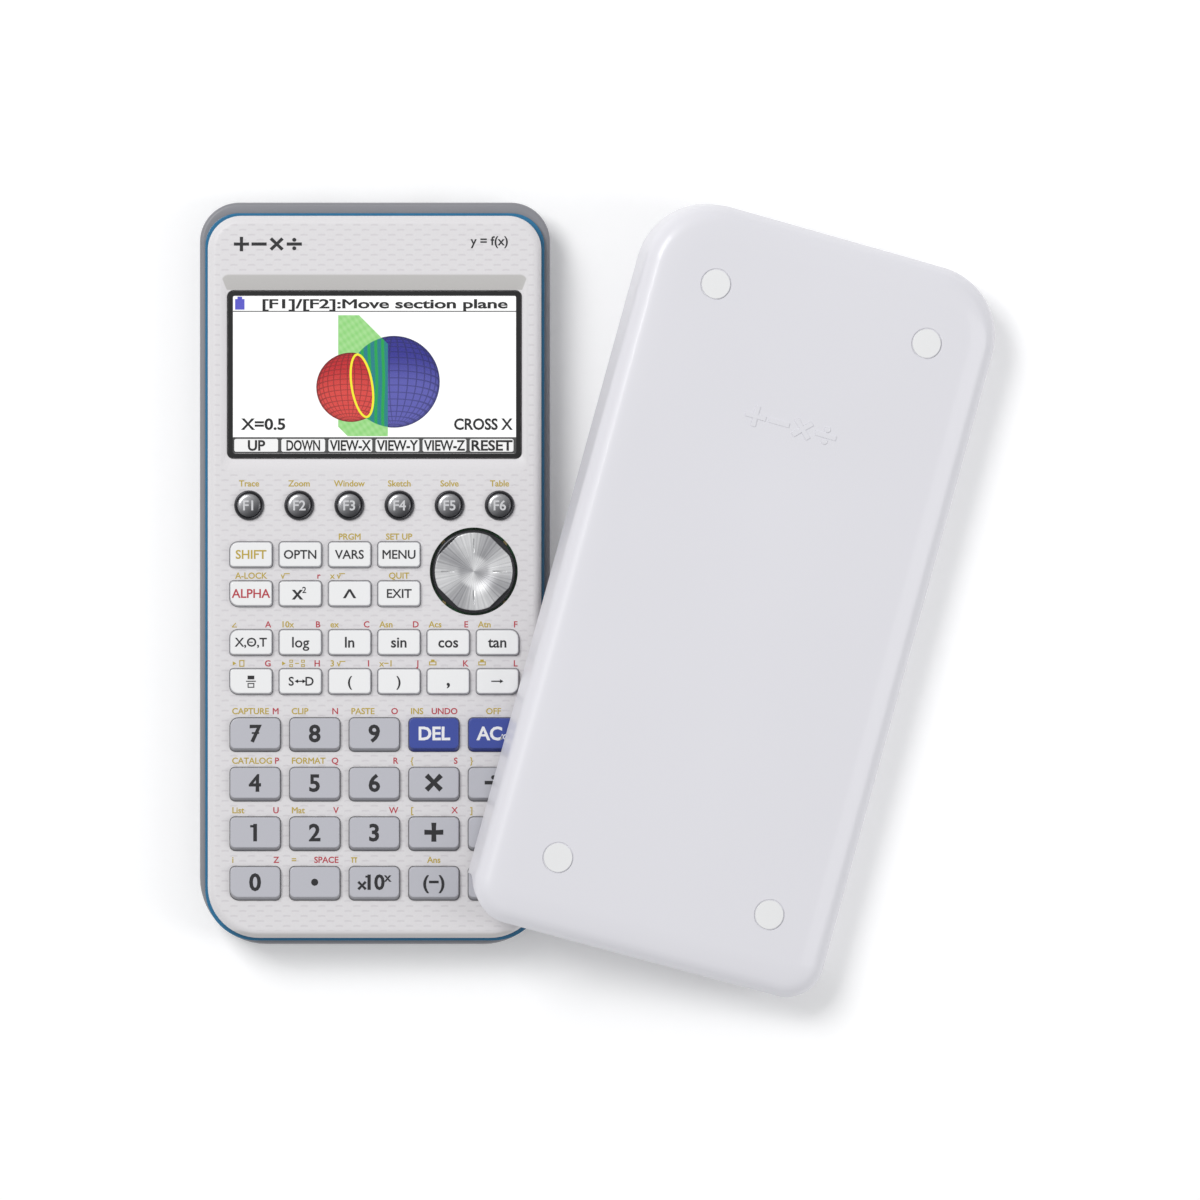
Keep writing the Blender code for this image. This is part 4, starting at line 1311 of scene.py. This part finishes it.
def chrome_finish():
    """Satin chrome, brushed round the middle, with soft fans of light that are a painted highlight.
    """
    finish = Finish("satin_chrome_disc", metallic=0.55)
    x, y, _ = finish.place()
    across, up = x - disc_middle.x / MM, y - disc_middle.y / MM
    angle = up.math("ARCTAN2", across)
    far = (across**2.0 + up**2.0) ** 0.5
    # Painted highlight: soft fans of light round the plate and in its hollow middle, with the
    # brushed grain
    fan = (angle * 4.0 + 0.6).math("SINE") * 0.5 + 0.5
    fine = ((angle * 41.0).math("SINE") + (angle * 67.0 + 1.0).math("SINE")) * 0.25 + 0.5
    inner = 1 - far.band(3.2, 4.6)
    inner_fan = (angle * 2.0 - 0.9).math("SINE") * 0.5 + 0.5
    sheen_and_grain = fan * (1 - inner) * 0.6 + inner_fan * inner * 0.7 + fine * 0.2
    finish.feed("Base Color", finish.mix(sheen_and_grain, paint("A2A2A5"), paint("FFFFFF")))
    finish.feed("Roughness", fine * 0.08 + 0.26)
    finish.bump(fine, 0.004)
    return finish.made


def add_disc():
    brim = disc_top - RING_DROP
    base = add_post("disc_base", disc_middle, disc_radius, disc_low.z, brim, 96)
    choose_cap(base, brim)
    climb(*quarter_round(0.7 * MM, 4))
    close()
    smooth(base)
    low = disc_top - 1.0 * MM
    brim = disc_top - PLATE_RIM
    plate = add_post("disc_plate", disc_middle, PLATE_RADIUS, low, brim, 96)
    choose_cap(plate, brim)
    climb(*quarter_round(PLATE_RIM, 4))
    climb((2.6 * MM, 0.02 * MM))
    for k in range(HOLLOW_RINGS):
        climb((0.6 * MM, -0.1 * MM * sin(pi * (k + 0.5) / HOLLOW_RINGS)))
    close()
    for turn in range(4):
        quarter = turn * pi / 2
        for low, high, angle in (
            ((PLATE_FLAT, -10 * MM, 0), (20 * MM, 10 * MM, 30 * MM), quarter + pi / 4),
            ((4.9 * MM, -0.16 * MM, disc_top - 0.5 * MM), (8.3 * MM, 0.16 * MM, 30 * MM), quarter),
        ):
            cutter = add_block("cutter", low, high)
            cutter.rotation_euler.z = angle
            cutter.location = (disc_middle.x, disc_middle.y, 0)
            pick(cutter)
            cut(plate, keep_new("cutter"))
    soften(plate, 0.08 * MM)
    return base, plate


disc_base, disc_plate = add_disc()
smoked_finish = plain_plastic("smoked_ring", "3C3C3F", 0.25, depth=0.002, metallic=0.6)
settle(disc_base, "cursor_disc", smoked_finish, "smoked_chrome")
settle(disc_plate, "cursor_disc", chrome_finish(), "satin_chrome", ["cursor_disc"])
print("cursor disc and its ring")

# %% [markdown]
# ## Legends on the face
#
# Above each key stand its second and third meanings in yellow and red. They are printed on the
# face and don't move, so each colour is joined into one piece. At the head of the face stand four
# signs of arithmetic and a short formula, in place of names.

# %% Legends on the face
SMALL = 1.5
ROUND_WORDS = ("Trace", "Zoom", "Window", "Sketch", "Solve", "Table")
ABOVE = {"round": 5.59 * MM, "function": 4.6 * MM, "number": 5.95 * MM}
second = {
    "variables": "PRGM", "menu": "SET UP", "alpha": "A-LOCK", "exit": "QUIT", "square": "v",
    "power": "x v", "variable_x": "∠", "log": "10x", "ln": "ex", "sin": "Asn", "cos": "Acs",
    "tan": "Atn", "open_bracket": "3 v", "close_bracket": "x−1", "7": "CAPTURE", "8": "CLIP",
    "9": "PASTE", "delete": "INS", "on": "OFF", "4": "CATALOG", "5": "FORMAT", "multiply": "{",
    "divide": "}", "1": "List", "2": "Mat", "plus": "[", "minus": "]", "0": "i", "point": "=",
    "negate": "Ans",
}
third = {
    "square": "r", "variable_x": "A", "log": "B", "ln": "C", "sin": "D", "cos": "E", "tan": "F",
    "fraction": "G", "convert": "H", "open_bracket": "I", "close_bracket": "J", "comma": "K",
    "arrow": "L", "7": "M", "8": "N", "9": "O", "delete": "UNDO", "4": "P", "5": "Q", "6": "R",
    "multiply": "S", "divide": "T", "1": "U", "2": "V", "3": "W", "plus": "X", "minus": "Y",
    "0": "Z", "point": "SPACE",
}
roots = {"square": 1.5, "power": 3.0, "open_bracket": 3.1}  # where a root sign's bar stands
centred = ("variables", "menu", "alpha", "exit", "on", "negate")


def yellow_marks():
    for name, words in zip(round_keys, ROUND_WORDS):
        x, y = key_centre(name)
        yield write(words, SMALL, (x, y + ABOVE["round"]), face_z)
    for kind, name in square_keys:
        x, y = key_centre(name)
        y += ABOVE[kind]
        left = x - key_size(name)[0] / 2 + 0.5 * MM
        if name in centred:
            yield write(second[name], SMALL, (x, y), face_z)
        elif name in second:
            yield write(second[name], SMALL, (left, y), face_z, "LEFT")
        if name in roots:
            yield tile((left + roots[name] * MM, y + 0.5 * MM), (1.5, 0.25), face_z)
        if name == "fraction":
            yield arrowhead((left + 0.6 * MM, y), 1, face_z)
            yield tile((left + 2.6 * MM, y), (1.3, 1.7), face_z, 0.25)
        if name == "convert":
            yield arrowhead((left + 0.6 * MM, y), 1, face_z)
            for step in (2.6, 5.6):
                for lift in (-0.55, 0.55):
                    yield tile((left + step * MM, y + lift * MM), (0.9, 0.75), face_z, 0.2)
            yield tile((left + 4.1 * MM, y), (1.0, 0.25), face_z)
        if name == "exponent":
            yield tile((left + 0.8 * MM, y + 0.5 * MM), (1.6, 0.28), face_z)
            for step in (0.4, 1.2):
                yield tile((left + step * MM, y - 0.2 * MM), (0.28, 1.1), face_z)
        if name in ("comma", "arrow"):
            yield tile((left + 1.0 * MM, y), (1.9, 1.0), face_z, 0.25)
            yield tile((left + 1.0 * MM, y + 0.75 * MM), (0.9, 0.45), face_z)


def red_marks():
    for kind, name in square_keys:
        x, y = key_centre(name)
        right = x + key_size(name)[0] / 2 - 0.4 * MM
        if name in third:
            yield write(third[name], SMALL, (right, y + ABOVE[kind]), face_z, "RIGHT")


yellow_legends = join("yellow_face_legends", list(yellow_marks()))
red_legends = join("red_face_legends", list(red_marks()))
settle(yellow_legends, "case", inks["yellow"])
settle(red_legends, "case", inks["red"])
face_far_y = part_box("front_case")[1].y
signs = write("+−×÷", 5.0, (-27.0 * MM, face_far_y - 7.3 * MM), face_z, bold=0.015, fit=17.0)
formula = write("y = f(x)", 2.2, (34.0 * MM, face_far_y - 6.4 * MM), face_z, "RIGHT")
settle(join("head_marks", [signs, formula]), "case", inks["dark"])
print("yellow, red and dark legends on the face")

# %% [markdown]
# ## The display window
#
# The window is a clear plate with a black border printed on its back. It is made as two pieces,
# a glossy frame and a clear pane inside it, so that only the middle lets the display through.

# %% Display window
BORDER = (1.25 * MM, 1.1 * MM)


def clear_finish():
    finish = Finish("clear_window", alpha=0.06, roughness=0.05, base_color=paint("20242A"))
    haze = finish.noise(9.0, 2.0)
    finish.feed("Roughness", haze * 0.04 + 0.03)
    return finish.made


def add_window():
    low, high = window_low, window_high
    border = add_block("window_border", low, high, (0.9 * MM,) * 4, 4)
    reach = Vector((*BORDER, -1 * MM))
    hole = add_block("hole", low + reach, high - reach, (0.5 * MM,) * 4, 3)
    cut(border, hole)
    soften(border, 0.1 * MM)
    step = Vector((*BORDER, 0)) + Vector((0.01, 0.01, 0.15)) * MM
    pane = add_block("window_pane", low + step, high - step, (0.5 * MM,) * 4, 3)
    smooth(pane)
    return border, pane


window_border, window_pane = add_window()
black_finish = plain_plastic("black_print", "020203", 0.4, depth=0.001)
settle(window_border, "case", black_finish, "window")
settle(window_pane, "case", clear_finish(), "window", ["display_window"])
print("window border and pane")

# %% [markdown]
# ## What the display shows
#
# The lit page lies just above the display's panel: a title line, two spheres cut by a clear green
# plane, two readings, and six boxes over the round keys. Each flat shape is a thin plate, one
# layer higher than what it hides. The spheres' nets are worked out from longitude and latitude.

# %% What the display shows
page_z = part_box("display_module")[1].z + 0.08 * MM
LAYER = 0.03 * MM
SCREEN = (36.2 * MM, 20.3 * MM)
# Middle and radius of each sphere, in millimetres
red_ball = (-6.0, 47.2, 8.8)
blue_ball = (4.9, 48.6, 11.65)
BALL_LEAN = radians(-14)
NET_TURN = 6.0  # degrees
GLOW = 1.12


def glow(name, code, strength=GLOW):
    finish = Finish(name, emission_strength=strength, roughness=0.5)
    flicker = finish.noise(3.0, 1.0) * 0.04 + 0.98
    colour = finish.node("ShaderNodeRGB")
    colour.socket.default_value = paint(code)
    finish.feed("Emission Color", finish.mix(flicker, BLACK, colour))
    finish.shader.inputs["Base Color"].default_value = BLACK
    return finish.made


def ball_wires(x, y, ball, lean, turn):
    """How dark a sphere's net is, its height from 0 to 1, and how far it faces the viewer."""
    across, up = (x - ball[0]) / ball[2], (y - ball[1]) / ball[2]
    out = (1.0 - across**2.0 - up**2.0).math("MAXIMUM", 0.0) ** 0.5
    high = up * cos(lean) + out * sin(lean)
    near = out * cos(lean) - up * sin(lean)
    east = (across.math("ARCTAN2", near) * (180 / pi) + turn) / 12.0
    north = high.math("ARCSINE") * (180 / pi) / 9.0
    lines = [((w.math("FRACT") - 0.5).math("ABSOLUTE") - 0.5) * -2.0 for w in (east, north)]
    thin = out.math("MAXIMUM", 0.25)
    net = [1 - (line * thin).band(0.05, 0.2) for line in lines]
    return net[0].math("MAXIMUM", net[1]), high * 0.5 + 0.5, out


def ball_finish(name, ball, dark, deep, light):
    finish = Finish(name, emission_strength=GLOW)
    x, y, _ = finish.place()
    net, high, out = ball_wires(x, y, ball, BALL_LEAN, NET_TURN)
    body = finish.mix(high.band(0.3, 0.75), paint(light), paint(deep))
    edge = 1 - out.band(0.05, 0.4)
    drawn = finish.mix(net * 0.55, body, paint(dark))
    finish.feed("Emission Color", finish.mix(edge * 0.7, drawn, paint(dark)))
    finish.shader.inputs["Base Color"].default_value = BLACK
    return finish.made


def plane_finish():
    """Pale green, dotted; striped green and teal where the blue sphere is behind it."""
    finish = Finish("cutting_plane", emission_strength=GLOW)
    x, y, _ = finish.place()
    across, up = (x - blue_ball[0]) / blue_ball[2], (y - blue_ball[1]) / blue_ball[2]
    inside = 1 - (across**2.0 + up**2.0).band(0.97, 1.0)
    dots = (x * 3.1).math("SINE") * (y * 2.9 + x * 1.2).math("SINE") * 0.5 + 0.5
    pale = finish.mix(dots, paint("8ED47A"), paint("A8E094"))
    stripes = (x * 3.6 + (y * 0.35).math("SINE") * 0.5).math("SINE").band(-0.2, 0.6)
    teal = finish.mix(stripes, paint("1A7F86"), paint("17A24C"))
    finish.feed("Emission Color", finish.mix(inside, pale, teal))
    finish.shader.inputs["Base Color"].default_value = BLACK
    return finish.made


def plate_at(name, low, high, layer, radii=None):
    """A thin plate on the page, its corners given in millimetres."""
    base = page_z + layer * LAYER
    low = (*(v * MM for v in low), base - 2 * LAYER)
    high = (*(v * MM for v in high), base + LAYER)
    return add_block(name, low, high, radii, 1)


def disc_at(name, ball, layer):
    base = page_z + layer * LAYER
    x, y, radius = (value * MM for value in ball)
    return add_post(name, (x, y), radius, base - 2 * LAYER, base + LAYER, 96)


RING = (2.6, 8.0)
RING_PLACE = (-3.2 * MM, 47.6 * MM)
RING_TILT = radians(9)


def oval(name, layer, swell=0.0):
    made = disc_at(name, (0, 0, RING[1] + swell), layer)
    made.scale.x = (RING[0] + swell) / (RING[1] + swell)
    made.rotation_euler.z = RING_TILT
    made.location = (*RING_PLACE, 0)
    pick(made)
    return keep_new(name)


def add_red_ball():
    """The part of the red sphere left of the plane, and the oval where the plane cuts it."""
    ball = disc_at("red_ball", red_ball, 4)
    away = add_block("away", (0, -0.02, 0), (0.02, 0.02, 0.03))
    away.rotation_euler.z = RING_TILT
    away.location = (*RING_PLACE, 0)
    pick(away)
    cut(ball, keep_new("away"))
    cut(ball, oval("oval", 4), way="UNION")
    return ball


def add_ring():
    base = page_z + 6 * LAYER
    ring = oval("cut_ring", 6, 0.3)
    return hollow_through(ring, base - 2 * LAYER, base + LAYER, 0.55 * MM)


def screen_words(words, height, x, y, width, align="LEFT", layer=2):
    base = page_z + layer * LAYER
    spot = (x * MM, (y + height / 2) * MM)
    return write(words, height, spot, base, align, bold=0.03, fit=width)


page_low = (window_middle.x - SCREEN[0], window_middle.y - SCREEN[1], page_z - 0.15 * MM)
page_high = (window_middle.x + SCREEN[0], window_middle.y + SCREEN[1], page_z)
page = add_block("lit_page", page_low, page_high)
settle(page, "case", glow("page_white", "FFFFFF", 1.2))
blue_net = ball_finish("blue_net", blue_ball, "141446", "2E2C8E", "5B5BB0")
settle(disc_at("blue_ball", blue_ball, 2), "case", blue_net)
plane = plate_at("cut_plane", (-9.24, 34.8), (3.37, 65.5), 3, (2.4 * MM, 0, 7.3 * MM, 0))
settle(plane, "case", plane_finish())
red_net = ball_finish("red_net", red_ball, "3A0508", "C01F26", "D9453F")
settle(add_red_ball(), "case", red_net)
settle(add_ring(), "case", glow("ring_yellow", "F7EE2A"))
marks = [
    screen_words("[F1]/[F2]:Move section plane", 2.2, -28.75, 67.3, 61.9),
    screen_words("X=0.5", 2.7, -33.7, 36.5, 10.9),
    screen_words("CROSS X", 2.7, 20.1, 36.5, 14.6),
]
SOFT_WORDS = ("UP", "DOWN", "VIEW-X", "VIEW-Y", "VIEW-Z", "RESET")
BOX_START = -35.6
BOX_PITCH = 11.95
BOX_WIDTH = 11.1
boxes = []
for k, words in enumerate(SOFT_WORDS):
    left = BOX_START + k * BOX_PITCH
    corners = ((left, 30.85), (left + BOX_WIDTH, 34.1))
    boxes.append(plate_at("soft_box", *corners, 2, (0.3 * MM,) * 4))
    fit = min(10.2, 2.1 * len(words))
    marks.append(screen_words(words, 2.5, left + BOX_WIDTH / 2, 31.2, fit, "CENTER", 3))
strip = plate_at("soft_strip", (-36.0, 30.4), (36.0, 34.55), 1)
rule = plate_at("title_rule", (-35.9, 66.35), (35.9, 66.6), 1)
settle(join("soft_boxes", boxes), "case", glow("box_white", "F4F4F4"))
settle(join("screen_words", marks), "case", glow("screen_ink", "1C1C1C", 1.0))
settle(join("screen_lines", [strip, rule]), "case", glow("screen_gray", "4A4A4A"))
cell_body = plate_at("mark", (-35.4, 66.9), (-33.0, 69.6), 1)
cell_tip = plate_at("mark", (-34.8, 69.5), (-33.6, 70.2), 1)
settle(join("battery_mark", [cell_body, cell_tip]), "case", glow("mark_blue", "5A58C8"))
print("the display's page and what is drawn on it")

# %% [markdown]
# ## The hard cover
#
# The loose cover lies on the table with one edge up on the calculator. It is a shallow tray with
# a softly crowned back, open at one end so that it can slide on. It is modelled level round the
# middle of its back and only then tilted and turned into place.

# %% Hard cover
COVER_HALF = 46.8 * MM
COVER_LENGTH = 190.0 * MM
COVER_DEPTH = 14.2 * MM
COVER_PLATE = 1.8 * MM
COVER_WALL = 2.0 * MM
COVER_RADII = (10 * MM, 10 * MM, 18 * MM, 18 * MM)
COVER_PLACE = (93.3 * MM, -6.8 * MM)
COVER_TURN = radians(-15.4)
COVER_TILT = radians(12.198)
EDGE = 4.0 * MM
CROWN = (9.4 * MM, 1.2 * MM)  # how far in the crown reaches, and how high it rises
CROWN_WALL = 1.4 * MM
PAD_PLACE = (28.4 * MM, 75.1 * MM)
PAD_RADIUS = 3.65 * MM
PAD_SPAN = (-0.4 * MM, 0.25 * MM)
SEAT_RADIUS = 4.0 * MM
SEAT_LOW = -0.3 * MM
MOUTH_LENGTH = 10 * MM
MOUTH_TOP = -3.3 * MM
MOUTH_RADIUS = 8 * MM
LIP_SPAN = (-1.2 * MM, 0.4 * MM)  # from the wall's inner face: inwards, and into the wall
LIP_ENDS = (11 * MM, 19 * MM)
LIP_HEIGHT = 1.4 * MM
cover_lift = COVER_HALF * sin(COVER_TILT) + COVER_DEPTH * cos(COVER_TILT) + 0.03 * MM


def crown_steps(edge, crown_width, crown_height, count=5):
    """A rounded edge and then a soft slope, as steps inwards and up."""
    ins = [edge * (1 - cos(pi / 2 * k / 7)) for k in range(8)]
    ins += [edge + (crown_width - edge) * k / count for k in range(1, count + 1)]

    def height(inset):
        left = max(0.0, 1 - inset / edge)
        return -edge * (1 - (1 - left**2) ** 0.5) - crown_height * (1 - inset / crown_width) ** 2

    return [(b - a, height(b) - height(a)) for a, b in zip(ins, ins[1:])], height(0)


def add_cover():
    steps, start = crown_steps(EDGE, *CROWN)
    half_length = COVER_LENGTH / 2
    cover = add_block(
        "cover_shell",
        (-COVER_HALF, -half_length, -COVER_DEPTH),
        (COVER_HALF, half_length, start),
        COVER_RADII,
        16,
    )
    choose_cap(cover, start)
    climb(*steps)
    inner = start - CROWN_WALL
    choose_cap(cover, -COVER_DEPTH, up=False)
    climb((COVER_WALL, 0), (0, -(COVER_DEPTH + inner)))
    rise = -COVER_PLATE - inner
    climb((0.6 * MM, -rise * 0.5), (1.4 * MM, -rise * 0.3), (3.0 * MM, -rise * 0.2))
    close()
    reach = 5 * MM
    mouth_low = (-COVER_HALF - reach, -half_length - reach, -COVER_DEPTH - reach)
    mouth_high = (COVER_HALF + reach, -half_length + MOUTH_LENGTH, MOUTH_TOP)
    mouth = add_block("mouth", mouth_low, mouth_high)
    choose(
        mouth,
        "EDGE",
        lambda edge: all(
            abs(end.co.y - mouth_high[1]) < TOUCH and abs(end.co.z - mouth_high[2]) < TOUCH
            for end in edge.verts
        ),
    )
    bpy.ops.mesh.bevel(offset=MOUTH_RADIUS, segments=8, affect="EDGES")
    close()
    cut(cover, mouth)
    for side in (-1, 1):
        xs = sorted(side * (COVER_HALF - COVER_WALL + v) for v in LIP_SPAN)
        low = (xs[0], -half_length + LIP_ENDS[0], -COVER_DEPTH)
        high = (xs[1], half_length - LIP_ENDS[1], -COVER_DEPTH + LIP_HEIGHT)
        cut(cover, add_block("lip", low, high), way="UNION")
    for x, y in pad_places:
        cut(cover, add_post("seat", (x, y), SEAT_RADIUS, SEAT_LOW, 2 * MM, 48))
    soften(cover, 0.15 * MM)
    return cover


def place_cover(piece):
    """Tilts, turns and moves a piece from the level cover's middle to where the cover lies."""
    piece.rotation_euler = (0, COVER_TILT, COVER_TURN)
    piece.location = (*COVER_PLACE, cover_lift)
    pick(piece)
    return keep_new(piece.name)


def cover_finish():
    """White satin plastic, a little cool, whose tone drifts slowly over the whole back."""
    finish = Finish("cover_satin", coat_weight=0.2)
    clouds = finish.noise(60.0, 2.0)
    fine = finish.noise(0.5, 2.0)
    finish.feed("Base Color", finish.mix(clouds, paint("E4E3E8"), paint("E9E8ED")))
    finish.feed("Roughness", (fine - 0.5) * 0.08 + 0.36)
    finish.bump(fine, 0.004)
    return finish.made


pad_places = [(sx * PAD_PLACE[0], sy * PAD_PLACE[1]) for sx in (-1, 1) for sy in (-1, 1)]
cover_satin = cover_finish()
cover_shell = place_cover(add_cover())
settle(cover_shell, "slide_cover", cover_satin, "cover_plastic", ["slide_cover"])
pads = []
for spot in pad_places:
    pad = add_post("pad", spot, PAD_RADIUS, *PAD_SPAN, 48)
    soften(pad, 0.12 * MM)
    pads.append(pad)
cover_pads = place_cover(join("cover_pads", pads))
settle(cover_pads, "slide_cover", plain_plastic("pad_rubber", "F3F3F3", 0.55, depth=0.004))
emboss = write("+−×÷", 7.2, (0, 45.6 * MM), 0, bold=0.015, fit=24.0, up=0.22 * MM)
emboss.name = "cover_signs"
soften(emboss, 0.05 * MM)
settle(place_cover(emboss), "slide_cover", cover_satin)
print("cover, four pads and its raised signs")

# %% [markdown]
# ## The key mat
#
# Under the keys lies a rubber mat with a dome for each key. A dome gives way when its key is
# pressed, so each is a piece of its own, and the mat's rim round them all is a frame.

# %% Key mat
mat_low, mat_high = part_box("key_mat")
board_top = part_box("circuit_board")[1].z
PAD_LOW = board_top + 0.04 * MM
PAD_SHOULDER = 0.5 * MM
PAD_INSET = 2.2 * MM
PAD_DRAFT = 0.3 * MM
MAT_CORNER_NEAR = 10.6 * MM
MAT_CORNER_FAR = 1.6 * MM
RIM_HEIGHT = 0.4 * MM
RIM_AIR = 0.15 * MM  # between the rim and the key nearest to it
rubber = plain_plastic("mat_rubber_gray", "8F8F92", 0.7, grain=0.6, depth=0.02)


def add_mat_pad(name):
    low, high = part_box(f"key_{name}")
    shoulder = PAD_LOW + PAD_SHOULDER
    pad = add_block(f"{name}_pad", (low.x, low.y, PAD_LOW), (high.x, high.y, shoulder))
    choose_cap(pad, shoulder)
    climb((PAD_INSET, 0), (PAD_DRAFT, mat_high.z - shoulder))
    close()
    smooth(pad)
    settle(pad, "case", rubber, "mat_rubber")
    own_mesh(pad)


all_keys = [*round_keys, *(name for _, name in square_keys)]
for name in all_keys:
    add_mat_pad(name)
key_boxes = [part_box(f"key_{name}") for name in all_keys]
gaps = [min(low.x - mat_low.x, low.y - mat_low.y) for low, _ in key_boxes]
gaps += [min(mat_high.x - high.x, mat_high.y - high.y) for _, high in key_boxes]
rim_width = min(gaps) - RIM_AIR
rim_top = mat_low.z + RIM_HEIGHT
rim_radii = (MAT_CORNER_NEAR, MAT_CORNER_NEAR, MAT_CORNER_FAR, MAT_CORNER_FAR)
mat_rim = add_block("mat_rim", mat_low, (mat_high.x, mat_high.y, rim_top), rim_radii)
hollow_through(mat_rim, mat_low.z, rim_top, rim_width)
settle(mat_rim, "case", rubber, "mat_rubber", ["key_mat"])
print("mat with", len(all_keys), "domes in a rim", round(rim_width / MM, 2), "mm wide")

# %% [markdown]
# ## Inside pieces and the table
#
# The circuit board, the display's panel, the disc's pivot and the restart button keep their plain
# solids, which are hidden or nearly so, and get finishes of their own. So does the table.

# %% Inside pieces and the table
def dress(name, finish):
    nodes[name].data.materials.clear()
    nodes[name].data.materials.append(finish)


dress("circuit_board", board_green)
dress("display_module", plain_plastic("display_frame", "C9CCD2", 0.35))
for name in ("cursor_pivot", "restart_button"):
    dress(name, dark_finish)


def floor_finish():
    finish = Finish("white_table", roughness=0.8, emission_strength=0.12)
    finish.shader.inputs["Emission Color"].default_value = (1.0, 1.0, 1.0, 1.0)
    finish.feed("Base Color", finish.mix(finish.noise(400.0, 2.0), paint("FBFBFB"), paint("FFFFFF")))
    return finish.made


floor.data.materials.append(floor_finish())
print("inside pieces and the table have their finishes")
